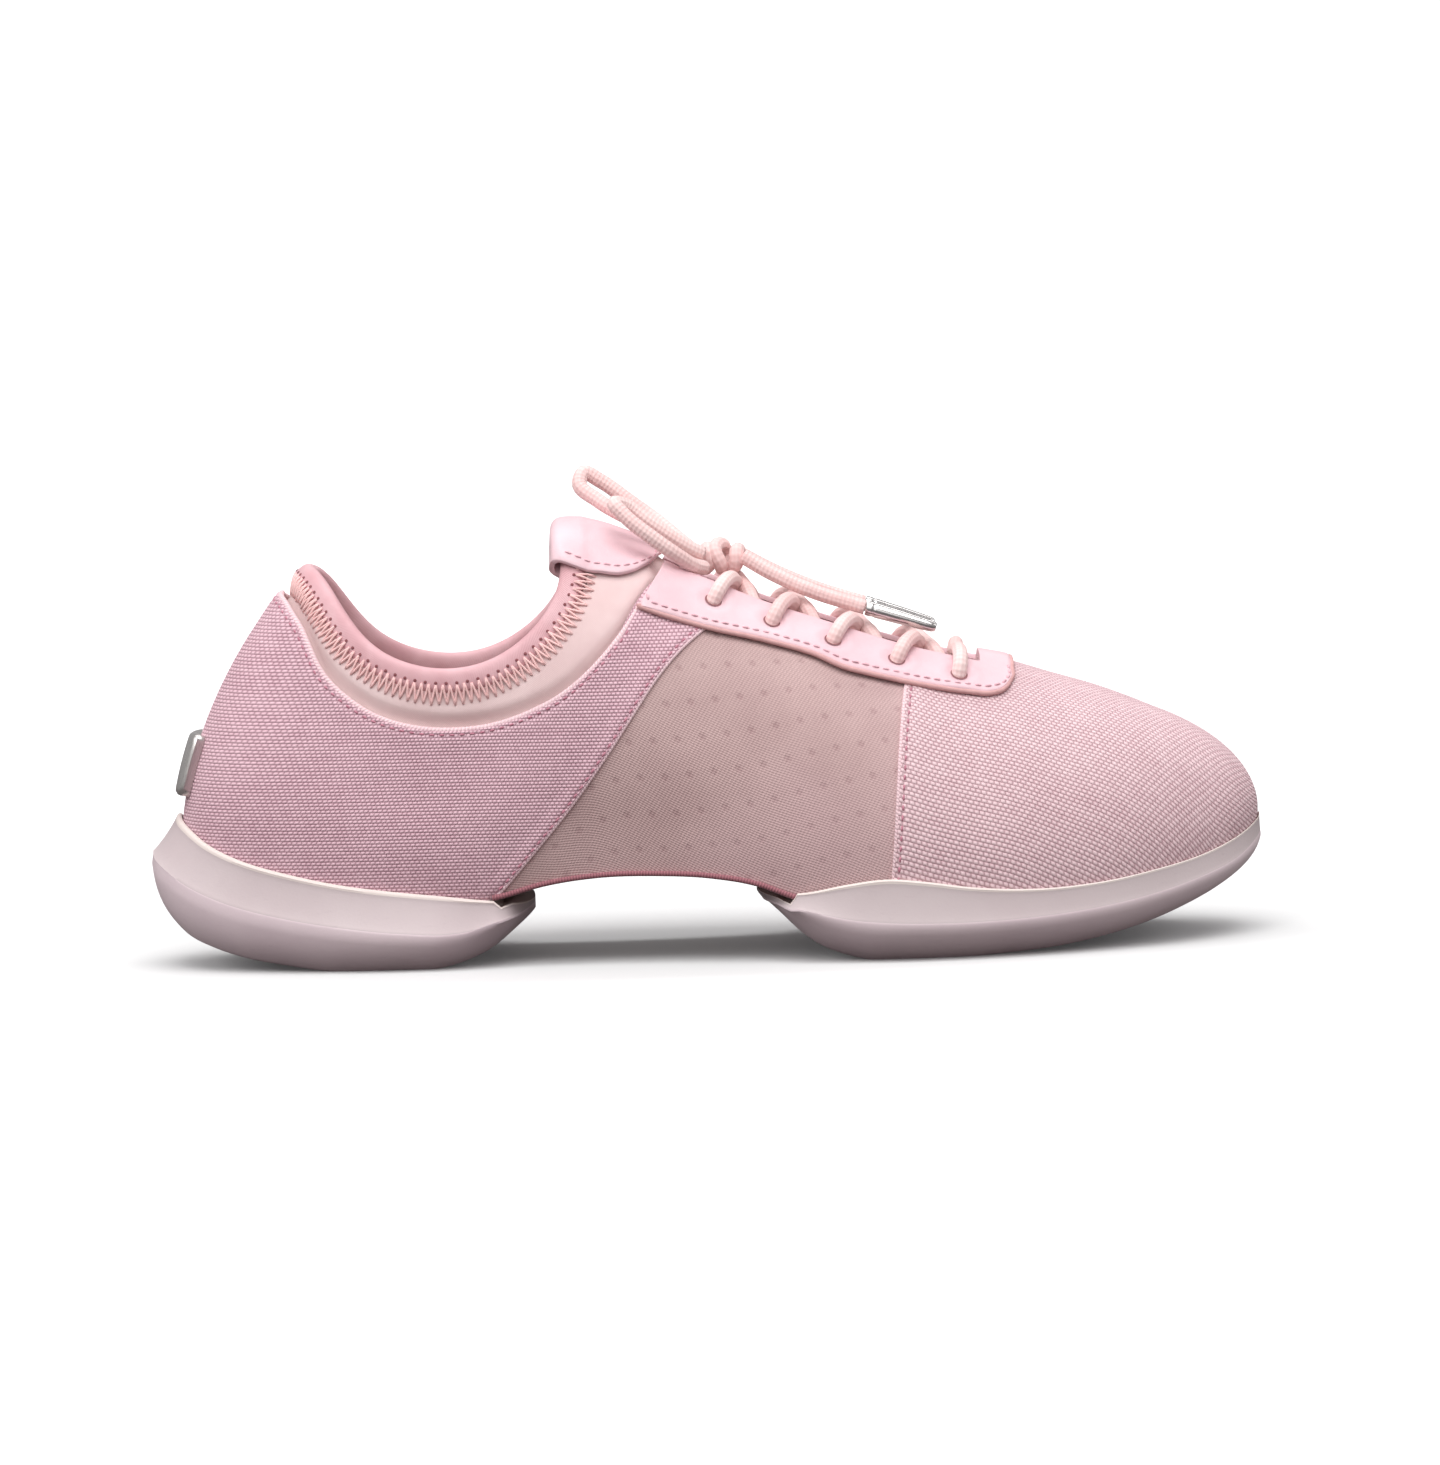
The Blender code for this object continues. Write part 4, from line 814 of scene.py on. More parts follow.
def between(at, run, points):
    """Places on a line of points, at distances along it."""
    return np.stack([np.interp(at, run, points[:, i]) for i in range(3)], -1)


def rod_faces(start, rings, sides):
    """Faces of a rod made of rings of points, with both ends closed."""
    faces = []
    for low in range(start, start + (rings - 1) * sides, sides):
        for q in range(sides):
            n = (q + 1) % sides
            faces.append([low + q, low + sides + q, low + sides + n, low + n])
    faces.append([start + q for q in range(sides)])
    faces.append([start + rings * sides - 1 - q for q in range(sides)])
    return faces


def stitches(name, lines, pitch, length, thick, paint):
    """Short rounded stitches along lines of (points, outward directions)."""
    points, faces = [], []
    for line, outs in lines:
        run = distances(line)
        count = max(2, int(run[-1] / pitch))
        for s in (np.arange(count) + 0.5) * run[-1] / count:
            p = between(s, run, line)
            up = unit(between(s, run, outs))
            go = unit(between(s + 0.0004, run, line) - between(s - 0.0004, run, line))
            side = unit(np.cross(up, go))
            faces += rod_faces(len(points), 7, 6)
            for k in range(7):
                a = -1 + k / 3
                wide = thick * math.sqrt(max(1 - abs(a) ** 2.6, 0.02))
                rise = thick * (0.55 - 0.75 * abs(a) ** 2.2)
                for turned in np.arange(6) * math.pi / 3:
                    up_by = rise + wide * 0.8 * math.sin(turned)
                    points.append(p + go * a * length / 2 + side * wide * math.cos(turned) + up * up_by)
    return piece(name, points, faces, [paint])


seams = []
for side in (-1, 1):
    shares = np.linspace(0.03, 0.965, 60)
    for line, sign in ((quarter_line, -1), (vamp_line, 1)):
        ways = side * (line(shares) + sign * MM * 1.6)
        seams.append((off(ways, shares, 0.00066 + relax(ways, shares)), normal(ways, shares)))
edge_ways = np.linspace(-0.452, 0.452, 200)
edge_levels = shell_top(edge_ways) - 0.0016 / SIDE_HEIGHT
edge_seam = off(edge_ways, edge_levels, 0.0005 + relax(edge_ways, edge_levels))
seams.append((edge_seam, normal(edge_ways, edge_levels)))
stitches("upper_seams", seams, 0.0024, 0.0015, 0.00028, rose_thread)


# Hems and arch piping: the cut edges of the canvas are turned in, which leaves a thin round edge. Where the
# two soles leave the fabric bare, a thin rose cord is sewn into its lower edge.
def circle(centre, one, two, radius, sides):
    """A ring of points about a centre, in the plane of two directions."""
    turns = np.arange(sides) * 2 * math.pi / sides
    return [centre + radius * (math.cos(a) * one + math.sin(a) * two) for a in turns]


def patch(near, far, low, high):
    """Texture places of a cell's four corners."""
    return [[near, low], [near, high], [far, high], [far, low]]


def tube(name, line, radius, paint, sides=12, closed=False, taper=None):
    """A round tube along points, with texture distances round it and along it."""
    line = np.asarray(line, float)
    go = unit(np.roll(line, -1, 0) - np.roll(line, 1, 0) if closed else np.gradient(line, axis=0))
    run = distances(np.concatenate([line, line[:1]]))
    aside = unit(np.cross(go[0], [0.0, 0.31, 0.95]))
    points = []
    for k, (p, way) in enumerate(zip(line, go)):
        aside = unit(aside - way * np.dot(aside, way))
        thick = radius if taper is None else radius * taper[k]
        points += circle(p, aside, np.cross(way, aside), thick, sides)
    rows = len(line)
    width = 2 * math.pi * radius / sides
    faces, uvs = [], []
    for r in range(rows if closed else rows - 1):
        n = (r + 1) % rows
        for c in range(sides):
            d = (c + 1) % sides
            faces.append([r * sides + c, r * sides + d, n * sides + d, n * sides + c])
            uvs.append(patch(run[r], run[r + 1], c * width, (c + 1) * width))
    if not closed:
        faces.append(list(range(sides))[::-1])
        faces.append([(rows - 1) * sides + c for c in range(sides)])
        uvs += [[[0.0, 0.0]] * sides, [[run[rows - 1], 0.0]] * sides]
    return piece(name, points, faces, [paint], None, uvs)


hem_paint = Paint("canvas_hem", roughness=0.8, sheen_weight=0.3, sheen_roughness=0.45)
hem_run, hem_round = hem_paint.cloth_place()
hem_rib = (hem_run + hem_round * 0.5).waves(0.0009)
hem_broad = hem_paint.noise(hem_paint.body_place(), 120.0, 3.0)
hem_tone = hem_paint.blend(hem_broad, (232, 196, 202), (246, 220, 222))
hem_paint.colour(hem_rib * 0.3, hem_tone, (196, 148, 160))
hem_paint.bump(hem_rib, 0.0002, 0.6)
edge_ways = np.linspace(-0.461, 0.461, 260)
free_edge = off(edge_ways, shell_top(edge_ways) - 0.0002 / SIDE_HEIGHT, relax(edge_ways, 0.75) - 0.00018)
tube("hem_collar", free_edge, 0.00078, hem_paint.material, 10)
for side, name in ((-1, "outer"), (1, "inner")):
    shares = np.linspace(0.0, 0.985, 90)
    for line, sign, what in ((quarter_line, -1, "quarter"), (vamp_line, 1, "vamp")):
        ways = side * (line(shares) + sign * MM * 0.35)
        edge_line = off(ways, shares, 0.00036 * smooth(shares / 0.04) + relax(ways, shares))
        tube(f"hem_{what}_{name}", edge_line, 0.00046, hem_paint.material, 8)

piping_paint = Paint("rose_piping", roughness=0.7, sheen_weight=0.3)
ribs = piping_paint.cloth_place()[0].waves(0.0007)
piping_paint.colour(ribs, (134, 78, 88), (166, 104, 113))
piping_paint.bump(ribs, 0.00015, 0.7)
for side, name in ((-1, "outer"), (1, "inner")):
    ways = side * np.linspace(0.360, 0.548, 60)
    low = edge_point(ways) - inward(ways) * 0.0007 + np.array([0, 0, 0.0004])
    tube("arch_piping_" + name, low, 0.00068, piping_paint.material)


# Sock: a stretch collar and gusseted tongue in one, smooth cream jersey over thin foam. It is tucked under
# the shell's edge, puffs out above it and ends in the binding.
MOUTH_END = 0.400
TONGUE_START = 0.4215
SOCK_FRONT = 0.700
SOCK_WALL = 0.0026
SOCK_EASE = 0.0009
SOCK_PUFF = 0.0016
TONGUE_SINK = 0.0008
FIT_GAP = 0.0003
BINDING_WIDTH = 0.0060
cream = (*srgb(255, 236, 230), 1)
sock_paint = Paint("sock_jersey", roughness=0.85, sheen_weight=0.45, sheen_roughness=0.4, sheen_tint=cream)
knit_u, knit_v = sock_paint.cloth_place()
knit = (knit_u * (2 * math.pi / 0.00055)).sine() * (knit_v * (2 * math.pi / 0.00045)).sine() * 0.5 + 0.5
cloud = sock_paint.noise(sock_paint.body_place(), 60.0, 4.0)
sock_tone = sock_paint.blend(cloud.ramp(0.3, 0.75), (222, 193, 193), (235, 211, 210))
sock_paint.colour(knit * 0.16, sock_tone, (206, 172, 164))
sock_paint.bump(knit, 0.00008, 0.5)


def mouth_loop(count):
    """Evenly spaced points round the mouth's edge, with the outward and the opening directions there."""
    rising = np.linspace(0, MOUTH_END, 60)
    crossing = np.linspace(1, 2, 30)
    ways = np.concatenate([-rising, np.full(29, -MOUTH_END), np.full(29, MOUTH_END), rising[:0:-1]])
    level = np.concatenate([np.ones(60), crossing[1:], crossing[-2::-1], np.ones(59)])
    points, out = last(ways, level), normal(ways, level)
    for _ in range(40):
        points[1:-1] = (points[:-2] + 2 * points[1:-1] + points[2:]) / 4
        out[1:-1] = (out[:-2] + 2 * out[1:-1] + out[2:]) / 4
    points = np.concatenate([points, points[:1]])
    out = unit(np.concatenate([out, out[:1]]))
    run = distances(points)
    at = np.arange(count) * run[-1] / count
    place = between(at, run, points)
    away = unit(between(at, run, out))
    go = unit(np.roll(place, -1, axis=0) - np.roll(place, 1, axis=0))
    open_way = unit(np.cross(away, go))
    away = unit(np.cross(go, open_way))
    return place, away, open_way


def sock_out(t, v):
    """How far the sock's outer face lies from the upper's: tucked under it, puffed out above."""
    s = np.abs(t)
    tall = np.linalg.norm(mouth_point(t) - edge_point(t), axis=-1)
    wide = np.linalg.norm(ridge_point(t) - mouth_point(t), axis=-1)
    clear = (np.minimum(v, 1) - shell_top(t)) * tall + np.maximum(v - 1, 0) * wide
    behind = smooth((EYESTAY_REAR + 0.02 - s) / 0.03)
    rest = -(WALL + SOCK_EASE) + SOCK_PUFF * behind * smooth((clear - 0.0008) / 0.004)
    sunk = TONGUE_SINK * (1 - behind) * smooth((v - 1.15) / 0.5)
    return rest - sunk


def below_binding(ways):
    """How far up (v) the sock goes at each way round, so that it stops just short of the binding."""
    loop, _, _ = mouth_loop(240)
    low, high = np.full(len(ways), 0.6), np.full(len(ways), 0.988)
    for _ in range(24):
        middle = (low + high) / 2
        gap = np.linalg.norm(last(ways, middle)[:, None] - loop[None], axis=-1).min(axis=1)
        clear = gap > BINDING_WIDTH + FIT_GAP * 3.5
        low, high = np.where(clear, middle, low), np.where(clear, high, middle)
    return low


one_side = [MOUTH_END * k / 60 for k in range(61)]
one_side += [MOUTH_END + (TONGUE_START - MOUTH_END) * k / 4 for k in (1, 2, 3, 4)]
one_side += [TONGUE_START + (SOCK_FRONT - TONGUE_START) * k / 30 for k in range(1, 31)]
ways = np.array(both_sides(one_side))
low = up_to(ways, edge_point(ways)[:, 2] + 0.0062)
high = below_binding(ways)
tall = np.linalg.norm(mouth_point(ways) - edge_point(ways), axis=-1)
shell = np.minimum(shell_top(ways) + 0.0006 / tall, high - 0.02)
levels = [low + (shell - low) * k / 12 for k in range(13)]
tucked = np.where(np.abs(ways) < TONGUE_START, np.minimum(high + 0.0026 / tall, 0.995), high)
levels += [shell + (tucked - shell) * k / 12 for k in range(1, 13)]
levels += [1 + k / 14 for k in range(15)]
rows_out = [off(ways, v, sock_out(ways, v)) for v in levels]
rows_in = [off(ways, v, sock_out(ways, v) - SOCK_WALL) for v in levels]
on_tongue = (np.abs(ways[:-1]) > TONGUE_START - 1e-6) & (np.abs(ways[1:]) > TONGUE_START - 1e-6)
outside = np.array(rows_out)
sock_piece = sheet(
    "sock_collar",
    outside,
    np.array(rows_in),
    [sock_paint.material],
    lambda r, c: r < 24 or bool(on_tongue[c]),
    None,
    quarter_place(np.broadcast_to(ways, outside.shape[:2]), outside),
    55,
)
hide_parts("sock_and_tongue")


# Collar binding: a folded strip of pink lycra rolled over the sock's edge. A coral zigzag seam below it holds
# it down, and leaves a row of needle marks, coloured dark as painted shade in the holes.
BINDING_THICK = 0.0038
LOOP_STEPS = 280
ROLL_STEPS = 24
ROLL_SPAN = 0.0007
ZIGZAG_PITCH = 0.00075
ZIGZAG_THREAD = 0.00030
ON_BINDING = -0.0019
ON_SOCK = 0.0026
NEEDLE_DENT = ((0.00042, 0.0), (0.00026, 0.00012))
rosy = (*srgb(255, 220, 224), 1)
binding_paint = Paint("lycra_binding", roughness=0.5, sheen_weight=0.35, sheen_roughness=0.3, sheen_tint=rosy)
fine_u, fine_v = binding_paint.cloth_place()
rib = (fine_u + fine_v * 0.6).waves(0.00042)
wide_tone = binding_paint.noise(binding_paint.body_place(), 90.0, 3.0)
lycra_tone = binding_paint.blend(wide_tone.ramp(0.3, 0.7), (212, 162, 168), (226, 183, 188))
binding_paint.colour(rib * 0.2, lycra_tone, (196, 134, 142))
binding_paint.bump(rib * 0.3 + wide_tone, 0.00025, 0.5)

place, away, open_way = mouth_loop(LOOP_STEPS)
centre = place - open_way * BINDING_WIDTH / 2 - away * (WALL + FIT_GAP - SOCK_PUFF + SOCK_WALL / 2)
ripple = np.arange(LOOP_STEPS) * 2 * math.pi / LOOP_STEPS * 37
rings = []
for a in np.arange(ROLL_STEPS) * 2 * math.pi / ROLL_STEPS:
    wave = 1 + 0.035 * np.sin(ripple + 2 * math.sin(a)) * (0.5 - 0.5 * math.cos(a))
    flat = abs(math.cos(a)) ** 0.85 * math.copysign(1, math.cos(a)) * BINDING_WIDTH / 2
    bulge = abs(math.sin(a)) ** 0.8 * math.copysign(1, math.sin(a)) * BINDING_THICK / 2
    rings.append(centre + open_way * flat + away * (bulge * wave)[:, None])
binding_faces, binding_uvs = [], []
loop_run = distances(np.concatenate([place, place[:1]]))
for r in range(ROLL_STEPS):
    for c in range(LOOP_STEPS):
        d, low, high = (c + 1) % LOOP_STEPS, r * LOOP_STEPS, (r + 1) % ROLL_STEPS * LOOP_STEPS
        binding_faces.append([low + c, high + c, high + d, low + d])
        binding_uvs.append(patch(loop_run[c], loop_run[c + 1], r * ROLL_SPAN, (r + 1) * ROLL_SPAN))
roll_points = np.array(rings).reshape(-1, 3)
binding = face_out(
    piece("collar_roll", roll_points, binding_faces, [binding_paint.material], None, binding_uvs)
)
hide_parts("collar_binding")

coral_thread = thread_paint("coral_thread", (250, 212, 210), (236, 181, 178))
collar_places, collar_faces = [], []
for part in (sock_piece, binding):
    collar_faces += [[i + len(collar_places) for i in p.vertices] for p in part.data.polygons]
    collar_places += [v.co.copy() for v in part.data.vertices]
collar_tree = BVHTree.FromPolygons(collar_places, collar_faces)
# Painted shade: the needle marks are coloured dark for the shade inside the needle holes.
needle_hole_shade = grain_paint("needle_hole_shade", (120, 66, 70), (150, 92, 96), 900.0, 3.0, roughness=0.9)
count = int(loop_run[-1] / ZIGZAG_PITCH) // 2 * 2
step = loop_run[-1] / count
at = np.arange(count) * step


def on_loop(rows, s):
    return between(s, loop_run, np.concatenate([rows, rows[:1]]))


def band_point(s, below, proud):
    """A place on the collar's outer face a distance below the binding's lower edge."""
    away_here = on_loop(away, s)
    start = on_loop(place, s) - on_loop(open_way, s) * (BINDING_WIDTH + below)
    hit, _, _, _ = collar_tree.ray_cast(Vector(start + away_here * 0.007 - SHIFT), Vector(-away_here), 0.014)
    return (start if hit is None else np.array(hit) + SHIFT) + away_here * proud


points, faces = [], []
for k in range(count):
    wander = 0.00018 * math.sin(k * 2.7) + 0.00012 * math.sin(k * 1.13)
    near_edge, far_edge = (ON_BINDING, ON_SOCK) if k % 2 else (ON_SOCK, ON_BINDING)
    one = band_point(at[k], near_edge + wander, 0.00005)
    two = band_point((at[k] + step) % loop_run[-1], far_edge + wander, 0.00005)
    mid = band_point((at[k] + step / 2) % loop_run[-1], 0.0004, 0.00055)
    bow_up = mid - (one + two) / 2
    line = [one, one * 0.6 + mid * 0.4 + bow_up * 0.3, mid, two * 0.6 + mid * 0.4 + bow_up * 0.3, two]
    faces += rod_faces(len(points), 5, 6)
    for p, way in zip(line, unit(np.gradient(np.array(line), axis=0))):
        side = unit(np.cross(way, unit(bow_up)))
        points += circle(p, side, np.cross(side, way), ZIGZAG_THREAD, 6)
band = piece("zigzag_seam", points, faces, [coral_thread])


def punch(points, faces, centre, one, two, out, rings, sides):
    """Adds a small round dent: a ring, a narrower one at another height, and the floor inside it."""
    start = len(points)
    for wide, rise in rings:
        points += circle(centre + out * rise, one, two, wide, sides)
    for q in range(sides):
        n = (q + 1) % sides
        faces.append([start + q, start + n, start + sides + n, start + sides + q])
    faces.append([start + sides + q for q in range(sides)])


holes, hole_faces = [], []
for k in range(0, count, 3):
    one, out = on_loop(open_way, at[k]), on_loop(away, at[k])
    p = band_point(at[k], -0.0024, 0.00008)
    punch(holes, hole_faces, p, unit(one), unit(np.cross(out, one)), out, NEEDLE_DENT, 8)
piece("needle_marks", holes, hole_faces, [needle_hole_shade])


# Eyestay: a U of smooth pink leather, its raw edge thick and rounded, sewn all round. Each lace hole is
# punched through it without a metal eyelet, so the leather is drawn in round the cord.
def leather_paint(name, light, dark):
    paint = Paint(name, roughness=0.42, coat_weight=0.08, coat_roughness=0.35, specular_ior_level=0.4)
    where = paint.body_place()
    pore = paint.node("ShaderNodeTexVoronoi", None, {"Vector": where, "Scale": 1900.0})
    fine = paint.noise(where, 500.0, 4.0)
    broad = paint.noise(where, 40.0, 3.0)
    paint.colour((broad * 0.8 + fine * 0.25).ramp(0.2, 0.9), dark, light)
    paint.set("Roughness", fine * 0.14 + 0.36)
    paint.bump(pore * 0.6 + fine * 0.8, 0.00010, 0.5)
    return paint.material


pink_leather = leather_paint("pink_leather", (236, 203, 209), (222, 184, 192))
raw_look = ((196, 146, 146), (222, 176, 174), 800.0, 3.0, (0.0002, 0.5))
leather_edge = grain_paint("leather_edge", *raw_look, roughness=0.7)
# Lower edge of the leather eyestay
EYESTAY_EDGE = [
    # round, height
    (0.459, 0.846), (0.475, 0.824), (0.50, 0.793), (0.54, 0.752), (0.57, 0.713), (0.585, 0.684),
    (0.60, 0.666), (0.63, 0.635), (0.66, 0.612), (0.676, 0.606), (0.686, 0.615), (0.694, 0.640),
]
eyestay_edge = along(EYESTAY_EDGE)
LEATHER = 0.0010
EYESTAY_START = 0.459
EYESTAY_TURN = 0.476
EYESTAY_FRONT = 0.694
EYELETS = [0.6555, 0.618, 0.5805, 0.5445, 0.508]
EYELET_INSET = 0.0070
EYELET_DENT = ((0.00212, 0.00170), (0.0010, 0.00148))


def place_on(x, y):
    """Way round and height share (t, v) of the outer surface over a plan point of the instep."""
    x, y = np.broadcast_arrays(np.asarray(x, float), np.asarray(y, float))
    side = np.where(y < 0, -1.0, 1.0)
    sample = np.linspace(MOUTH_END, 0.99, 200)
    s = np.interp(x, mouth_along(sample) * LENGTH, sample)
    for _ in range(4):
        low, high = np.full(x.shape, 0.4), np.full(x.shape, 2.0)
        for _ in range(18):
            middle = (low + high) / 2
            wide = side * (last(side * s, middle)[..., 1] - y) > 0
            low, high = np.where(wide, middle, low), np.where(wide, high, middle)
        v = (low + high) / 2
        s = np.clip(s + (x - last(side * s, v)[..., 0]) / 0.39, MOUTH_END, 0.99)
    return side * s, v


def over(x, y, out):
    t, v = place_on(x, y)
    return off(t, v, np.broadcast_to(out, t.shape))


def eyelet_place(k, side):
    """Plan point (x, y) of an eyelet, number k from the front."""
    s = EYELETS[k]
    wide = float(np.linalg.norm(mouth_point(s)[:2] - ridge_point(s)[:2])) + EYELET_INSET
    return float(mouth_along(s)) * LENGTH, side * wide


one_side = [EYESTAY_START + (EYESTAY_TURN - EYESTAY_START) * k / 10 for k in range(11)]
one_side += [EYESTAY_TURN + (THROAT_FRONT - EYESTAY_TURN) * k / 90 for k in range(1, 91)]
one_side += [THROAT_FRONT + (EYESTAY_FRONT - THROAT_FRONT) * k / 14 for k in range(1, 15)]
ways = np.array([-w for w in one_side] + one_side[::-1])
s = np.abs(ways)
high = shell_top(ways)
low = np.minimum(up_to(ways, eyestay_edge(s) * INSTEP_HEIGHT), high - 0.004)
spread_up = [0, 0.012, 0.03, 0.06, 0.10]
spread_up += [0.10 + 0.9 * k / 22 for k in range(1, 21)]
spread_up += [0.965, 0.985, 0.995, 1]
levels = [low + (high - low) * f for f in spread_up] + [1 + k / 12 for k in range(1, 13)]
holes_at = [over(*eyelet_place(k, side), 0.0) for k in range(5) for side in (-1, 1)]
under = CANVAS_STEP + FIT_GAP


def leather_out(points):
    """Thickness of the leather, drawn in round the lace holes."""
    thick = np.full(points.shape[:-1], LEATHER + 0.0002)
    for hole in holes_at:
        far = np.linalg.norm(points - hole, axis=-1)
        thick = thick - 0.0007 * np.exp(-((far / 0.0030) ** 2))
        thick = thick + 0.00025 * np.exp(-(((far - 0.0042) / 0.0014) ** 2))
    return thick


rows_out, rows_in = [], []
for number, v in enumerate(levels):
    thick = leather_out(last(ways, v))
    rim = np.ones(len(ways))
    if number < 5:
        rim = rim * [0.45, 0.80, 0.97, 1.03, 1.0][number]
    if 24 < number < len(spread_up):
        rim = rim * np.where(s < THROAT_FRONT, [0.98, 0.92, 0.75, 0.5][number - 25], 1)
    tip = np.clip(np.minimum(s - EYESTAY_START, EYESTAY_FRONT - s) / 0.004, 0, 1)
    rim = rim * (0.45 + 0.55 * np.sqrt(1 - (1 - tip) ** 2))
    rows_out.append(off(ways, v, under + thick * rim + relax(ways, v) * 0.5))
    rows_in.append(off(ways, v, under - 0.0002 + relax(ways, v) * 0.5))
bridge = (s[:-1] > THROAT_FRONT - 1e-6) & (s[1:] > THROAT_FRONT - 1e-6)
seam_column = len(one_side) - 1
outside = np.array(rows_out)
eyestay = sheet(
    "eyestay_leather",
    outside,
    np.array(rows_in),
    [pink_leather],
    lambda r, c: c != seam_column and (r < len(spread_up) - 1 or bool(bridge[c])),
    None,
    ridge_place(outside),
    60,
)
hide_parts("eyestay")
for side, name in ((-1, "outer"), (1, "inner")):
    low_side = (low if side < 0 else low[::-1])[: len(one_side)]
    edge_ways = side * np.concatenate([np.full(6, EYESTAY_START), one_side, np.full(12, EYESTAY_FRONT)])
    rear_rise = low_side[0] + np.linspace(0.97, 0, 7)[:6] * (high[0] - low_side[0])
    front_rise = np.linspace(low_side[-1], 2.0, 13)[1:]
    lows = np.concatenate([rear_rise, low_side, front_rise])
    edge_line = off(edge_ways, lows, under + 0.00042)
    tube("leather_rim_" + name, edge_line, 0.00066, leather_edge, 8)
seams = []
for side in (-1, 1):
    run_ways = side * np.array([0.4645, 0.4645, 0.4660] + list(np.linspace(0.470, 0.6905, 110)) + [0.6905])
    base = up_to(run_ways, eyestay_edge(np.abs(run_ways)) * INSTEP_HEIGHT) + 0.0019 / SIDE_HEIGHT
    base[0] = shell_top(run_ways[:1])[0] - 0.01
    base[1] = base[0] * 0.5 + base[2] * 0.5
    base[-1] = base[-2] + 0.12
    seams.append((off(run_ways, base, under + LEATHER + 0.0002), normal(run_ways, base)))
stitches("eyestay_seam", seams, 0.0025, 0.0019, 0.00034, pink_thread)
hole_shadow = grain_paint("hole_shadow", (128, 84, 88), (160, 112, 114), 700.0, 3.0, roughness=0.95)
points, faces = [], []
for k in range(5):
    for side in (-1, 1):
        x, y = eyelet_place(k, side)
        t, v = place_on(x, y)
        out = normal(t, v)
        one = unit(np.cross(out, [0.0, 1.0, 0.0]))
        punch(points, faces, last(t, v), one, np.cross(out, one), out, EYELET_DENT, 20)
piece("lace_holes", points, faces, [hole_shadow])


# Tongue tab: a patch of the same pink leather as the eyestay. It is folded over the tongue's top and the
# binding, and sewn close to its edge.
TAB_SHAPE = [(0.36, 0.245), (0.405, 0.250), (0.43, 0.240), (0.445, 0.205), (0.456, 0.150), (0.463, 0.080)]
TAB_OUTSIDE = [
    (0.388, -0.0190), (0.373, -0.0190), (0.3655, -0.0140), (0.3640, -0.0050), (0.3655, 0.0030),
    (0.373, 0.0080), (0.389, 0.0082), (0.400, 0.0062), (0.418, 0.0055), (0.432, 0.0055), (0.445, 0.0055),
    (0.455, 0.0055), (0.463, 0.0055),
]
TAB_INSIDE = [
    (0.388, -0.0148), (0.374, -0.0148), (0.3696, -0.0110), (0.3684, -0.0050), (0.3696, 0.0005),
    (0.374, 0.0036), (0.388, 0.0038), (0.399, 0.0020), (0.418, 0.0012), (0.432, 0.0012), (0.445, 0.0012),
    (0.455, 0.0012), (0.463, 0.0012),
]
TAB_FOLD = 0.388
TAB_ROWS = 90
SEAM_LEFT, SEAM_RIGHT, SEAM_START, SEAM_TOP = 5, 35, 38, 83
half = along(TAB_SHAPE)
across = np.sin(np.linspace(-1, 1, 41) * math.pi / 2)
faces_of_tab = []
share_of_row = np.linspace(0, len(TAB_OUTSIDE) - 1, TAB_ROWS)
for rows in (TAB_OUTSIDE, TAB_INSIDE):
    index = np.arange(len(rows))
    share = Curve(index, [r[0] for r in rows])(share_of_row)[:, None]
    out = Curve(index, [r[1] for r in rows])(share_of_row)[:, None]
    y = across * half(share) * BALL_WIDTH
    x = np.broadcast_to(np.maximum(share, TAB_FOLD) * LENGTH, y.shape)
    t, v = place_on(x, y)
    ahead_t, ahead_v = place_on(x + 0.002, y)
    go = unit(last(ahead_t, ahead_v) - last(t, v))
    back = np.maximum(TAB_FOLD - share, 0) * LENGTH
    rim = 1 - 0.35 * np.exp(-(1 - np.abs(across)) / 0.012)
    thin = 0 if rows is TAB_INSIDE else (1 - rim) * -0.0009
    faces_of_tab.append(off(t, v, out * LENGTH + 0 * y + thin) - go * back[..., None])
tab_place = np.stack([np.broadcast_to(share_of_row[:, None] * 0.008, y.shape), y], -1)
tab = sheet("tongue_patch", faces_of_tab[0], faces_of_tab[1], [pink_leather], None, None, tab_place, 60)
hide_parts("tongue_tab")
top = faces_of_tab[0]
outline_cells = [(r, SEAM_LEFT) for r in range(SEAM_START, SEAM_TOP)]
outline_cells += [(SEAM_TOP, c) for c in range(SEAM_LEFT + 1, SEAM_RIGHT)]
outline_cells += [(r, SEAM_RIGHT) for r in range(SEAM_TOP - 1, SEAM_START - 1, -1)]
row_line = np.array([top[r, c] for r, c in outline_cells])
grid_up = unit(np.cross(np.gradient(top, axis=1), np.gradient(top, axis=0)))
row_out = np.array([grid_up[r, c] for r, c in outline_cells])
if row_out[len(row_out) // 2][2] < 0:
    row_out = -row_out
stitches("tab_seam", [(row_line, row_out)], 0.0024, 0.0019, 0.00030, pink_thread)


# Insole: a cream textile sheet on thin foam, cut to the last's underside and laid loose in the shell. It is
# seen only through the collar.
insole_paint = Paint("insole_textile", roughness=0.9, sheen_weight=0.3)
fine = insole_paint.noise(insole_paint.body_place(), 1400.0, 2.0)
broad = insole_paint.noise(insole_paint.body_place(), 30.0, 3.0)
insole_paint.colour((fine * 0.5 + broad * 0.5).ramp(0.2, 0.8), (196, 170, 166), (226, 204, 198))
insole_paint.bump(fine, 0.0002, 0.5)
INSOLE_EASE = 0.0007
INSOLE_THICK = 0.0030
ways = np.linspace(-1, 1, 161)
inset = width_in(ways, INSOLE_INSET)
shares = (1.0, 0.8, 0.6, 0.4, 0.2, 0.06, 0.0)
low_rows = np.array([bottom(ways, inset + (1 - inset) * k) for k in shares])
low_rows[..., 2] += WALL + INSOLE_EASE
top_rows = low_rows.copy()
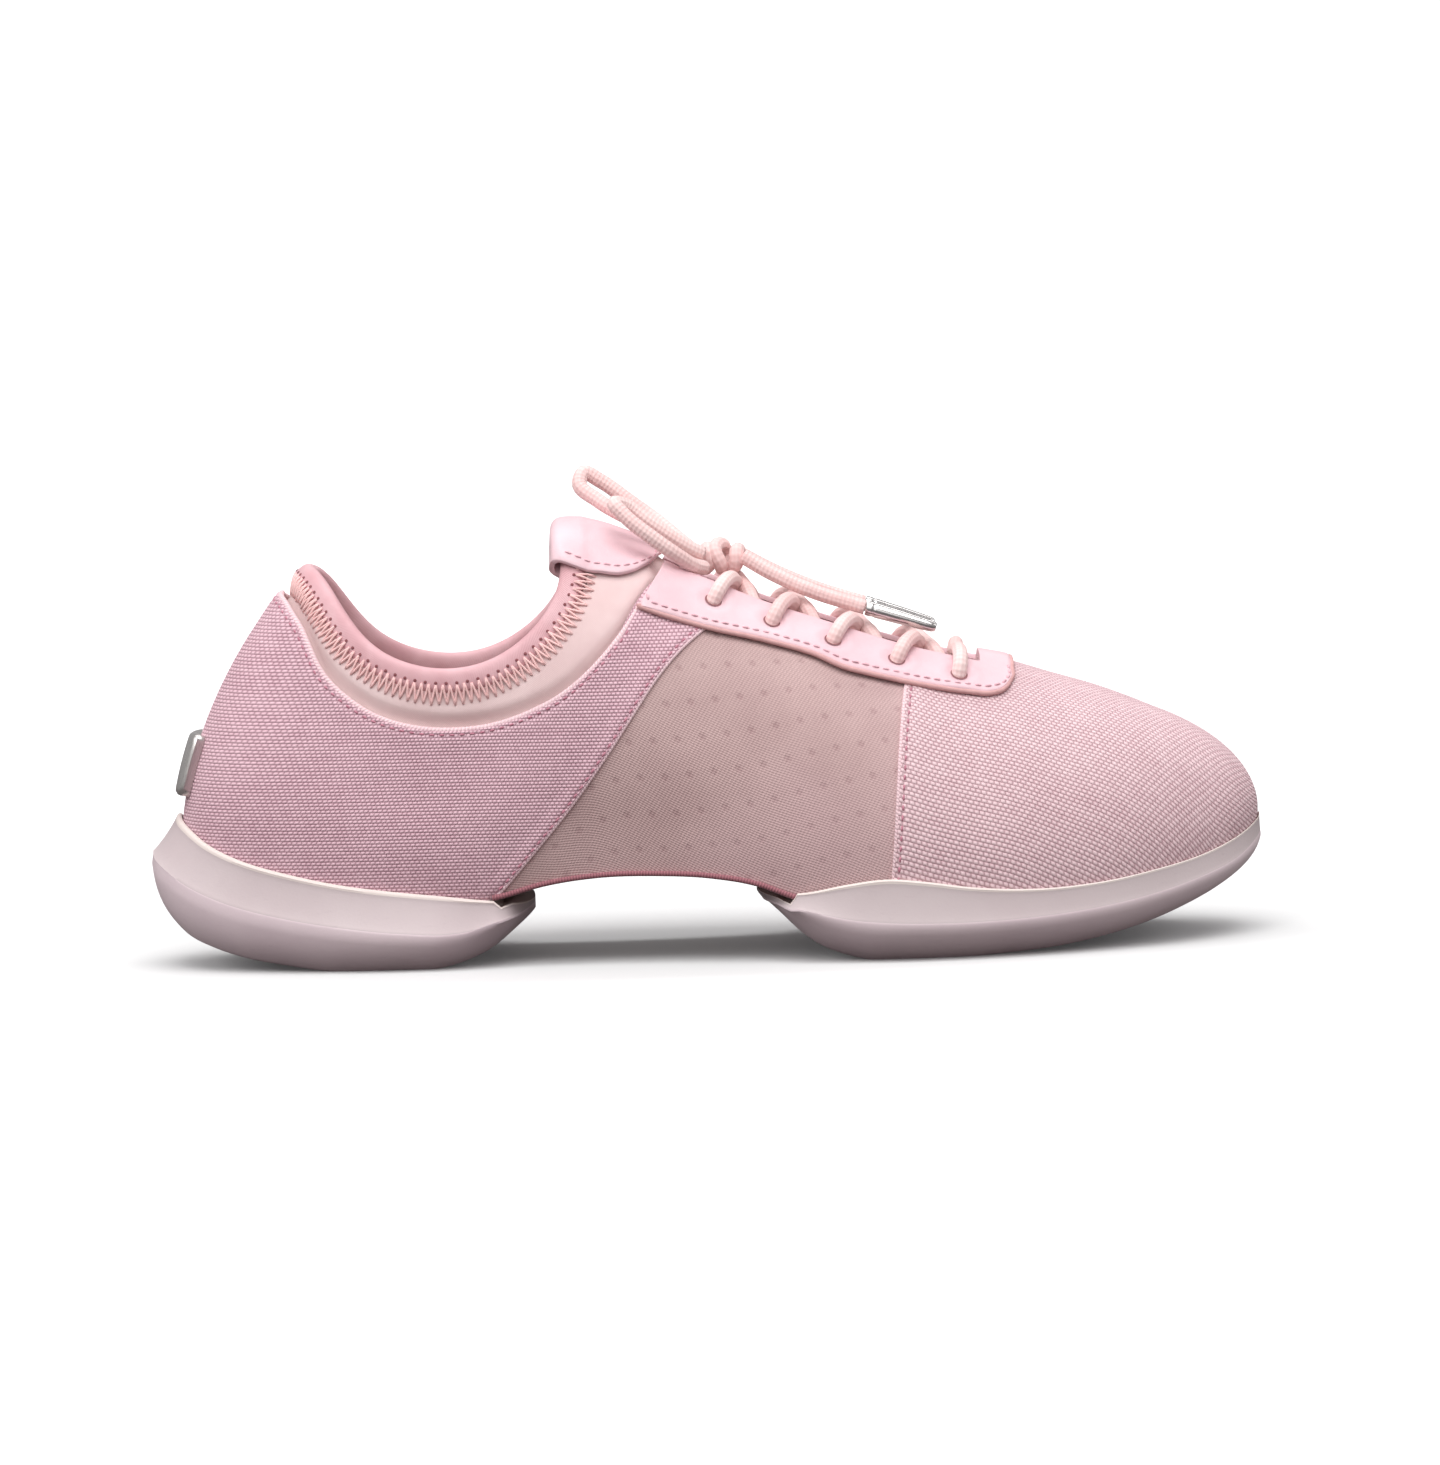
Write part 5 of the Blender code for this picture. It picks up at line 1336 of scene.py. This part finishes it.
top_rows[..., 2] += INSOLE_THICK - 0.0006 * (np.array(shares) < 0.01)[:, None]
insole = sheet("insole_board", top_rows, low_rows, [insole_paint.material], crisp=50)
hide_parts("insole")


# Soles: two separate foam mouldings, pale and matt. A thin lip meets the cloth, a facet lit from above slopes
# out to a crease, and a band in shade curls under to the tread. Lip, facet and band are one foam: the facet's
# colour is painted darker as painted shade, the band's lighter as painted light, and the lip's paler cream is
# a painted highlight.
LIP = 0.0012
HEEL_PAD_END = 0.385
HEEL_PAD_TURN = 0.325
FORE_PAD_END = 0.522
FORE_PAD_TURN = 0.580
# The two sole mouldings: lip, crease and tread edge, by the way round
HEEL_RIM = [
    # round, lip height, crease out, crease height, tread edge out
    (0.000, 0.367, 0.116, 0.278, 0.044),
    (0.060, 0.336, 0.112, 0.243, 0.034),
    (0.100, 0.303, 0.104, 0.206, 0.018),
    (0.150, 0.267, 0.096, 0.166, 0.000),
    (0.200, 0.237, 0.089, 0.136, -0.018),
    (0.250, 0.209, 0.086, 0.112, -0.030),
    (0.300, 0.187, 0.086, 0.094, -0.037),
    (0.330, 0.175, 0.080, 0.089, -0.042),
    (0.345, 0.168, 0.062, 0.094, -0.046),
    (0.360, 0.162, 0.044, 0.110, -0.046),
    (0.385, 0.156, 0.030, 0.132, -0.040),
]
FORE_RIM = [
    # round, lip height, crease out, crease height, tread edge out
    (0.520, 0.168, 0.010, 0.152, -0.050),
    (0.550, 0.169, 0.046, 0.128, -0.070),
    (0.575, 0.187, 0.056, 0.106, -0.084),
    (0.600, 0.198, 0.058, 0.096, -0.088),
    (0.625, 0.189, 0.058, 0.092, -0.088),
    (0.650, 0.174, 0.056, 0.091, -0.088),
    (0.700, 0.161, 0.050, 0.096, -0.086),
    (0.750, 0.168, 0.045, 0.110, -0.080),
    (0.800, 0.187, 0.042, 0.132, -0.072),
    (0.850, 0.209, 0.042, 0.160, -0.062),
    (0.900, 0.237, 0.043, 0.190, -0.050),
    (0.950, 0.266, 0.045, 0.226, -0.034),
    (1.000, 0.284, 0.046, 0.247, -0.022),
]
# Underside of each moulding along the shoe: flat where it stands, rising at its ends
HEEL_TREAD = [
    # along, height
    (-0.01, 0.170), (0.015, 0.114), (0.030, 0.084), (0.055, 0.055), (0.082, 0.034), (0.120, 0.015),
    (0.160, 0.000), (0.200, 0.000), (0.250, 0.000), (0.280, 0.018), (0.303, 0.045), (0.322, 0.082),
    (0.342, 0.121),
]
FORE_TREAD = [
    # along, height
    (0.543, 0.142), (0.560, 0.108), (0.577, 0.068), (0.594, 0.038), (0.613, 0.018), (0.640, 0.000),
    (0.680, 0.000), (0.722, 0.000), (0.760, 0.005), (0.800, 0.012), (0.840, 0.027), (0.880, 0.050),
    (0.916, 0.080), (0.947, 0.115), (0.973, 0.158), (0.992, 0.206),
]
HEEL_SHELF = [(0.00, 0.30), (0.29, 0.30), (0.305, 0.160), (0.322, 0.152), (0.345, 0.138)]
FORE_SHELF = [(0.540, 0.152), (0.556, 0.154), (0.575, 0.148), (0.600, 0.30), (1.00, 0.30)]


def foam_paint(name, light, dark, speck):
    paint = Paint(name, roughness=0.58, specular_ior_level=0.35)
    where = paint.body_place()
    skin = paint.noise(where, 1300.0, 3.0)
    broad = paint.noise(where, 26.0, 4.0)
    drawn = paint.node("ShaderNodeMapping", None, {"Vector": where, "Scale": (60.0, 60.0, 240.0)})
    scuff = paint.noise(drawn, 4.0, 4.0, 0.7)
    base = paint.blend(broad.ramp(0.25, 0.75), dark, light)
    paint.colour(scuff.ramp(0.58, 0.80) * 0.35, base, speck)
    paint.set("Roughness", broad * 0.2 + 0.46)
    paint.bump(skin * 0.5 + broad * 0.6, 0.00012, 0.45)
    return paint.material


# Painted light and shade: one foam in three colours. The facet is painted darker, the band under it is
# painted lighter, and the lip is a paler cream as a painted highlight.
foam_facet_shaded = foam_paint("foam_facet_shaded", (204, 190, 191), (194, 178, 180), (178, 160, 165))
foam_band_lit = foam_paint("foam_band_lit", (236, 218, 222), (224, 204, 210), (206, 185, 193))
foam_lip = foam_paint("foam_lip", (232, 220, 214), (222, 207, 202), (208, 189, 186))
tread_paint = Paint("tread", roughness=0.6)
tread_x, tread_y, _ = tread_paint.axes(tread_paint.body_place())
bars = ((tread_x + (tread_y * 90).sine() * 0.0016) * (2 * math.pi / 0.0052)).sine().ramp(-0.5, 0.1)
tread_grit = tread_paint.noise(tread_paint.body_place(), 900.0)
tread_paint.colour(bars * 0.7 + tread_grit * 0.3, (126, 104, 118), (176, 154, 166))
tread_paint.bump(bars + tread_grit * 0.1, 0.0007, 0.8)


def pad(name, node, start, turn, end, rim, tread, shelf):
    """A sole moulding: seat, wall and lip against the cloth, facet, crease, curled band and tread."""
    turn_x, end_x = edge_point(turn)[0], edge_point(end)[0]
    whole = LENGTH - HEEL_INSET - TOE_INSET
    one = [start + (turn - start) * k / 90 for k in range(91)]
    angles = [6, 12, 18, 24, 30, 36, 42, 47, 52, 57, 62, 66, 70, 74, 78, 81, 84, 86.5, 88.5]
    for a in angles:
        x = turn_x + (end_x - turn_x) * math.sin(math.radians(a))
        one.append(round_of((x - HEEL_INSET) / whole))
    one.append(end)
    ways = np.array(both_sides(one) if start == 0 else one[::-1] + [-w for w in one[1:]])
    s = np.abs(ways)
    lip, crease_out, crease_up, edge_out = [along(rim, column)(s) for column in (1, 2, 3, 4)]
    crease_out, edge_out = crease_out[:, None] * BALL_WIDTH, edge_out[:, None] * BALL_WIDTH
    ground, ledge = along(tread), along(shelf)
    edge, core, d = edge_point(ways), core_point(ways), inward(ways)

    def underside(share):
        return np.maximum(ground(share), 0)

    def closing(begin_share):
        begin = turn_x + (end_x - turn_x) * begin_share
        share = np.clip((edge[:, 0] - begin) / (end_x - begin), 0, 1)
        return np.sqrt(np.maximum(1 - share**2, 0))

    high_width, low_width = closing(0.60), closing(0.0)
    corner = bottom(ways, 0)
    corner[:, 2] = np.minimum(corner[:, 2] - FIT_GAP, ledge(corner[:, 0] / LENGTH) * INSTEP_HEIGHT)
    seat = []
    for w in (1.0, 0.7, 0.4, 0.15):
        p = bottom(ways, w)
        p[:, 2] = np.minimum(p[:, 2] - FIT_GAP, ledge(p[:, 0] / LENGTH) * INSTEP_HEIGHT)
        seat.append(p)
    corner[:, :2] -= d[:, :2] * FIT_GAP * 2.4
    stand = smooth((high_width - 0.985) / 0.015)
    height = corner[:, 2] + np.maximum(lip * INSTEP_HEIGHT - corner[:, 2], 0) * stand
    free = (height - corner[:, 2] < 0.0004)[:, None]
    rows = seat + [corner]
    for f in (0.2, 0.4, 0.6, 0.8, 0.93, 1.0):
        z = corner[:, 2] + (height - corner[:, 2]) * f
        wall = off(ways, up_to(ways, z), CANVAS_STEP + FIT_GAP * 1.2)
        wall[:, 2] = z
        rows.append(np.where(free, corner + (z - corner[:, 2])[:, None] * [0, 0, 1.0], wall))
    wall_top = rows[-1]
    brim = wall_top - d * LIP
    brim[:, 2] -= 0.0002
    crease = edge - d * crease_out
    crease[:, 2] = crease_up * INSTEP_HEIGHT
    below = np.minimum(crease[:, 2], corner[:, 2] - 0.0012)
    crease[:, 2] = np.where(high_width < 0.99, below, crease[:, 2])
    crease[:, 2] = np.maximum(crease[:, 2], underside(crease[:, 0] / LENGTH) * INSTEP_HEIGHT + 0.0005)
    step = np.minimum(1.0, (np.linalg.norm((crease - wall_top)[:, :2], axis=1) / 0.004))[:, None]
    brim = wall_top * (1 - step) + brim * step
    up = np.array([0, 0, 1.0])
    rows.append(wall_top * 0.6 + brim * 0.4 + up * 0.00022 * step)
    rows.append(wall_top * 0.2 + brim * 0.8 + up * 0.00014 * step)
    lip_end = len(rows) + 1
    rows.append(brim - d * 0.00012 * step - up * 0.0003 * step)
    for u, sag in ((0.08, 0.4), (0.2, 0.8), (0.4, 1.0), (0.6, 1.0), (0.8, 0.7), (0.93, 0.25)):
        rows.append(brim * (1 - u) + crease * u + d * 0.0005 * sag * step)
    rows.append(crease + up * 0.00012)
    facet_end = len(rows) - 1
    rows.append(crease - up * 0.00035)
    foot = edge - d * edge_out
    foot[:, 2] = underside(foot[:, 0] / LENGTH) * INSTEP_HEIGHT
    tall = np.clip((crease[:, 2] - foot[:, 2]) / 0.010, 0, 1)[:, None]
    for u in (0.10, 0.2, 0.3, 0.4, 0.5, 0.6, 0.7, 0.8, 0.9, 0.96):
        push = 0.0018 * math.sin(math.pi * min(u * 0.9 + 0.05, 1)) ** 0.8
        rows.append(crease * (1 - u) + foot * u + (np.array([0, 0, -0.9]) - d) * push * tall)
    foot_row = len(rows)
    rows.append(foot)
    for w in (0.06, 0.3, 0.65, 1.0):
        p = foot * (1 - w) + core * w
        p[:, 2] = underside(p[:, 0] / LENGTH) * INSTEP_HEIGHT
        rows.append(p)
    rings = np.array(rows)
    blend = np.linspace(0, 1, 12)
    widths = [high_width] * (facet_end + 1)
    widths += [high_width * (1 - b) + low_width * b for b in blend[: foot_row - facet_end - 1]]
    widths += [low_width] * (len(rows) - foot_row)
    rings[:, :, :2] = core[:, :2] + (rings[:, :, :2] - core[:, :2]) * np.array(widths)[..., None]
    rings[foot_row:, :, 2] = underside(rings[foot_row:, :, 0] / LENGTH) * INSTEP_HEIGHT
    rings[:5, :, 2] = np.minimum(rings[:5, :, 2], ledge(rings[:5, :, 0] / LENGTH) * INSTEP_HEIGHT)
    rings[5:11, free[:, 0]] = rings[4, free[:, 0]]
    points = rings.reshape(-1, 3)
    seen = {}
    first = [seen.setdefault(tuple(np.round(p * 2e5).astype(int)), i) for i, p in enumerate(points)]
    faces, slots = [], []
    for r, c, corners in cells(*rings.shape[:2]):
        ring = [first[i] for i in corners]
        kept = [ring[k] for k in range(4) if ring[k] != ring[k - 1]]
        if len(set(kept)) > 2 and len(set(kept)) == len(kept):
            faces.append(kept)
            slots.append(0 if r < lip_end else 1 if r < facet_end else 2 if r < foot_row else 3)
    paints = [foam_lip, foam_facet_shaded, foam_band_lit, tread_paint.material]
    made = face_out(piece(name, points, faces, paints, slots, None, 40))
    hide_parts(node)


pad("heel_moulding", "heel_sole", 0.0, HEEL_PAD_TURN, HEEL_PAD_END, HEEL_RIM, HEEL_TREAD, HEEL_SHELF)
pad("forefoot_moulding", "forefoot_sole", 1.0, FORE_PAD_TURN, FORE_PAD_END, FORE_RIM, FORE_TREAD, FORE_SHELF)


# Heel plate: a small bright metal plate, plain and brushed. It is curved to the heel, has a raised face with
# rounded edges, and is pressed onto the canvas.
PLATE_THICK = 0.0024
plate_paint = Paint("plate_metal", metallic=1.0, roughness=0.3)
brushed = {"Vector": plate_paint.body_place(), "Scale": (1.0, 30.0, 1.0)}
brush = plate_paint.noise(plate_paint.node("ShaderNodeMapping", None, brushed), 300.0, 3.0)
plate_paint.colour(brush, (196, 192, 190), (226, 222, 218))
plate_paint.set("Roughness", brush * 0.2 + 0.2)
plate_paint.bump(brush, 0.00003, 0.4)
PLATE_MIDDLE = 0.484
PLATE_HALF = 0.072
across = np.linspace(-1, 1, 25)
rows_out, rows_in = [], []
for z in np.linspace(PLATE_MIDDLE - PLATE_HALF, PLATE_MIDDLE + PLATE_HALF, 25):
    end = 1 - abs((z - PLATE_MIDDLE) / PLATE_HALF) ** 6
    narrow = 0.90 + 0.10 * end
    ways = 0.040 * across * narrow
    v = up_to(ways, z * INSTEP_HEIGHT)
    in_side = np.minimum(1, (1 - np.abs(across)) / 0.10)
    in_end = min(1, max(0, PLATE_HALF - abs(z - PLATE_MIDDLE)) / 0.008)
    rim = 0.0006 * (1 - in_side**0.5) + 0.0006 * (1 - in_end**0.5)
    rows_out.append(off(ways, v, CANVAS_STEP + FIT_GAP + PLATE_THICK - rim))
    rows_in.append(off(ways, v, CANVAS_STEP + FIT_GAP - 0.0002))
plate = sheet("heel_badge_plain", np.array(rows_out), np.array(rows_in), [plate_paint.material], crisp=50)
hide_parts("heel_plate")


# Lace: a soft round braid, pale pink. Each crossing comes up between the tongue and one side of the throat,
# goes over the other side and down through its punched hole.
LACE_DIAMETER = 0.0036
BRAID_ALONG = 0.0021
BRAID_ROUND = 0.00236
pale = (*srgb(255, 232, 230), 1)
cord_paint = Paint("braided_cord", roughness=0.75, sheen_weight=0.5, sheen_roughness=0.4, sheen_tint=pale)
run, turn_by = cord_paint.cloth_place()
strand_one = ((run / BRAID_ALONG + turn_by / BRAID_ROUND) * (2 * math.pi)).sine()
strand_two = ((run / BRAID_ALONG - turn_by / BRAID_ROUND) * (2 * math.pi)).sine()
braid = strand_one * strand_two * 0.5 + 0.5
fuzz = cord_paint.noise(cord_paint.body_place(), 1500.0, 3.0)
warm = cord_paint.noise(cord_paint.body_place(), 55.0, 3.0)
cord_tone = cord_paint.blend(warm.ramp(0.3, 0.75), (238, 200, 198), (247, 224, 221))
cord_paint.colour((1 - braid) * 0.35 + fuzz * 0.1, cord_tone, (216, 168, 165))
cord_paint.bump(braid + fuzz * 0.5, 0.00022, 0.7)
braided_cord = cord_paint.material


def along_route(points, spacing):
    """Evenly spaced points on a smooth curve through given ones."""
    points = np.array(points, float)
    at = distances(points)
    steps = np.linspace(0, at[-1], 400)
    fine = np.stack([Curve(at, points[:, i])(steps) for i in range(3)], -1)
    run = distances(fine)
    count = max(2, int(round(run[-1] / spacing)) + 1)
    return between(np.linspace(0, run[-1], count), run, fine)


# Share of the way from hole to hole, and height over the last in cord diameters
BAR = [
    (-0.02, -0.9), (0.0, 0.1), (0.03, 0.75), (0.09, 1.06), (0.17, 1.05), (0.25, 0.86), (0.36, 0.40),
    (0.5, 0.16), (0.64, 0.40), (0.75, 0.86), (0.83, 1.05), (0.91, 1.06), (0.97, 0.75), (1.0, 0.1),
    (1.02, -0.9),
]
CROSSING = [
    (0.20, -0.40), (0.28, -0.10), (0.36, 0.06), (0.5, 0.12), (0.62, 0.38), (0.74, 0.90), (0.83, 1.06),
    (0.91, 1.06), (0.97, 0.75), (1.0, 0.1), (1.02, -0.9),
]


def strand_line(start, finish, heights):
    share, height = np.array(heights).T
    x, y = [start[i] + (finish[i] - start[i]) * share for i in (0, 1)]
    return along_route(over(x, y, height * LACE_DIAMETER), 0.0007)


radius = LACE_DIAMETER / 2
bar_line = strand_line(eyelet_place(0, -1), eyelet_place(0, 1), BAR)
bar = tube("lace_front_bar", bar_line, radius, braided_cord, 16)
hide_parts("lace_bar")
for k in range(4):
    for side, name in ((1, "outer"), (-1, "inner")):
        line = strand_line(eyelet_place(k, side), eyelet_place(k + 1, -side), CROSSING)
        if side == -1:
            line[:, 2] += 0.0012 * np.exp(-(((np.linspace(-1, 1, len(line)) + 0.3) / 0.3) ** 2))
        strand_piece = tube(f"lace_strand_{k + 1}_{name}", line, radius, braided_cord, 16)
        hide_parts(f"lace_crossing_{k + 1}")

# Bow: a small flat knot of three wraps, two loops that stand back over the tongue, and two free ends that lie
# forward over the throat, each closed by a drawn metal tip.
AGLET_LENGTH = 0.0175
AGLET_DIAMETER = 0.0039
KNOT_PLACE = (0.507, 0.0, 1.25)
LOOP_INNER = [
    (0.4905, 0.0072, 0.3615),
    (0.4800, 0.0150, 0.3700),
    (0.466, 0.024, 0.3820),
    (0.437, 0.033, 0.4040),
    (0.410, 0.037, 0.4240),
    (0.3950, 0.035, 0.4320),
    (0.3910, 0.027, 0.4220),
    (0.408, 0.018, 0.4070),
    (0.438, 0.007, 0.3890),
    (0.465, -0.001, 0.3730),
    (0.4805, -0.0050, 0.3620),
    (0.4890, -0.0050, 0.3575),
]
LOOP_OUTER = [
    (0.5000, -0.0212, 0.3585),
    (0.488, -0.0285, 0.3650),
    (0.474, -0.034, 0.3740),
    (0.452, -0.039, 0.3900),
    (0.431, -0.043, 0.4060),
    (0.423, -0.051, 0.4080),
    (0.433, -0.058, 0.3960),
    (0.457, -0.062, 0.3760),
    (0.478, -0.057, 0.3600),
    (0.490, -0.046, 0.3510),
    (0.5010, -0.0238, 0.3462),
]
END_INNER = [
    (0.5365, 0.012, 0.3545),
    (0.560, 0.016, 0.3410),
    (0.600, 0.019, 0.3225),
    (0.645, 0.021, 0.3070),
]
END_OUTER = [
    (0.5365, -0.012, 0.3545),
    (0.560, -0.016, 0.3400),
    (0.600, -0.020, 0.3210),
    (0.645, -0.023, 0.3060),
]
centre = over(KNOT_PLACE[0] * LENGTH, KNOT_PLACE[1] * LENGTH, KNOT_PLACE[2] * LACE_DIAMETER)
KNOT_WRAPS = [
    # how far along, half width across, half height, turn about the upright, lean, lift
    (-0.0032, 0.0031, 0.0024, 0.35, 0.30, -0.0002),
    (0.0006, 0.0035, 0.0029, -0.25, -0.10, 0.0002),
    (0.0040, 0.0030, 0.0022, 0.15, 0.45, -0.0004),
]
turns = np.arange(40) * 2 * math.pi / 40
for number, (ahead_by, wide, high_by, twist, lean_by, lift_by) in enumerate(KNOT_WRAPS):
    ring = np.stack([0.0005 * np.sin(2 * turns), wide * np.cos(turns), high_by * np.sin(turns)], -1)
    spin = Matrix.Rotation(twist, 3, "Z") @ Matrix.Rotation(lean_by, 3, "Y")
    ring = ring @ np.array(spin).T + centre + [ahead_by, 0, lift_by]
    wrap = tube(f"knot_wrap_{number + 1}", ring, radius * 0.98, braided_cord, 14, True)
    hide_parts("lace_knot")


def path_of(line):
    """Every fourth point of a cord's middle line, and its last, in the CAD frame."""
    return [tuple(p - SHIFT) for p in line[::4]] + [tuple(line[-1] - SHIFT)]


for name, route in (("inner", LOOP_INNER), ("outer", LOOP_OUTER)):
    line = along_route(np.array(route) * LENGTH, 0.0008)
    loop = tube("bow_loop_" + name, line, radius, braided_cord, 16)
    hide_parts("lace_loop_" + name)
    tuple(line[0] - SHIFT)
    path_of(line)
aglet_paint = Paint("aglet_metal", metallic=1.0, roughness=0.28)
mill = aglet_paint.noise(aglet_paint.body_place(), 160.0, 2.0)
aglet_paint.colour(mill, (190, 186, 186), (228, 224, 222))
aglet_paint.set("Roughness", mill * 0.10 + 0.14)
AGLET_SHAPE = [
    # share of its length, share of its radius
    (0.0, 0.90), (0.02, 0.97), (0.08, 0.97), (0.10, 0.91), (0.12, 0.91), (0.14, 0.96), (0.5, 0.88),
    (0.88, 0.74), (0.95, 0.68), (0.99, 0.56), (1.0, 0.40),
]
for name, route in (("inner", END_INNER), ("outer", END_OUTER)):
    ends = along_route(np.array(route) * LENGTH, LACE_DIAMETER * 1.4)
    way = unit(ends[-1] - ends[-2])
    line = along_route(np.array(route) * LENGTH, 0.0008)
    end = tube("free_end_" + name, line, radius, braided_cord, 16)
    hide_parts("lace_end_" + name)
    tip = ends[-1] + way * FIT_GAP
    where, taper = np.array(AGLET_SHAPE).T
    shares = np.array(sorted(set(list(where) + list(np.linspace(0, 1, 15)))))
    taper = np.interp(shares, where, taper)
    metal_line = tip + way * AGLET_LENGTH * shares[:, None]
    metal = aglet_paint.material
    aglet = tube("metal_tip_" + name, metal_line, AGLET_DIAMETER / 2, metal, 32, False, taper)
    aglet.data.set_sharp_from_angle(angle=math.radians(40))
    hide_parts("aglet_" + name)
    tuple(line[0] - SHIFT)
    path_of(line)


# Studio: a pale sweep of floor, one large soft light overhead, a weaker one in front, and the camera at the
# photograph's angle.
def studio_sheet(name, places, faces, colour, glow):
    """A plain sheet of the studio, with a glow that grows towards the back, for an even white."""
    mesh = bpy.data.meshes.new(name)
    mesh.from_pydata(places, [], faces)
    paint = Paint(name, roughness=0.95)
    paint.shader.inputs["Base Color"].default_value = (*colour, 1)
    paint.shader.inputs["Emission Strength"].default_value = glow
    if glow:
        _, back, _ = paint.axes(paint.body_place())
        paint.set("Emission Color", paint.blend(back.ramp(0.2, 1.4), (0.1, 0.1, 0.1, 1), (1, 1, 1, 1)))
    mesh.materials.append(paint.material)
    mesh.polygons.foreach_set("use_smooth", np.ones(len(mesh.polygons), bool))
    thing = bpy.data.objects.new(name, mesh)
    bpy.context.collection.objects.link(thing)
    return thing


COVE_START = 2.2
COVE_ROUND = 0.8
cove = [(-4.0, 0.0), (COVE_START, 0.0)]
for turned in np.radians(range(10, 100, 10)):
    cove.append((COVE_START + COVE_ROUND * math.sin(turned), COVE_ROUND * (1 - math.cos(turned))))
cove.append((3.0, 3.0))
sweep_places = [(x, y, z) for y, z in cove for x in (-5.0, 5.0)]
sweep_faces = [[2 * k, 2 * k + 1, 2 * k + 3, 2 * k + 2] for k in range(len(cove) - 1)]
sweep = studio_sheet("studio_sweep", sweep_places, sweep_faces, (0.74, 0.74, 0.74), 0.40)
sweep.visible_diffuse = False
sweep.visible_glossy = False
table_places = [(x, y, -0.002) for x, y in ((-5, -5), (5, -5), (5, 5), (-5, 5))]
table = studio_sheet("studio_table", table_places, [[0, 1, 2, 3]], (0.30, 0.27, 0.27), 0.0)
table.visible_camera = False


def soft_light(name, place, aim, size, power):
    """A square soft box at a place, turned to what it lights."""
    data = bpy.data.lights.new(name, "AREA")
    data.shape = "SQUARE"
    data.size = size
    data.energy = power
    thing = bpy.data.objects.new(name, data)
    thing.location = place
    thing.rotation_euler = (Vector(aim) - Vector(place)).to_track_quat("-Z", "Y").to_euler()
    bpy.context.collection.objects.link(thing)


soft_light("overhead", (0.0, -0.72, 1.40), (0, 0, 0.04), 1.2, 19)
soft_light("front", (-0.35, -1.7, 0.85), (0, 0, 0.05), 1.2, 5.0)
soft_light("toe_side", (1.4, -0.6, 0.9), (0.05, 0, 0.04), 0.8, 5)
soft_light("heel_side", (-1.4, -0.5, 0.9), (-0.05, 0, 0.04), 0.8, 8)
soft_light("backdrop", (0, 0.8, 1.7), (0, 2.6, 0.5), 2.0, 50)
world = bpy.data.worlds.new("studio")
world.use_nodes = True
world.node_tree.nodes["Background"].inputs[0].default_value = (1, 0.99, 0.995, 1)
world.node_tree.nodes["Background"].inputs[1].default_value = 0.41
bpy.context.scene.world = world
bpy.context.scene.view_settings.view_transform = "Standard"

CAMERA_AWAY = 1.6
PHOTO_WIDTH = 1440
PIXELS_PER_METRE = 4130
tilt, roll = math.radians(5), math.radians(1.8)
ahead_way = Vector((0, math.cos(tilt), -math.sin(tilt)))
right = ahead_way.cross(Vector((0, 0, 1))).normalized()
upward = right.cross(ahead_way)
lean_right = right * math.cos(roll) - upward * math.sin(roll)
lean_up = right * math.sin(roll) + upward * math.cos(roll)
target = Vector((0.137 - SHIFT[0], 0, 0.0523))
camera_data = bpy.data.cameras.new("camera")
camera_data.sensor_width = 36
camera_data.sensor_fit = "HORIZONTAL"
camera_data.lens = 36 * CAMERA_AWAY * PIXELS_PER_METRE / PHOTO_WIDTH
camera = bpy.data.objects.new("camera", camera_data)
frame_matrix = Matrix((lean_right, lean_up, -ahead_way)).transposed().to_4x4()
frame_matrix.translation = target - ahead_way * CAMERA_AWAY
camera.matrix_world = frame_matrix
bpy.context.collection.objects.link(camera)
bpy.context.scene.camera = camera
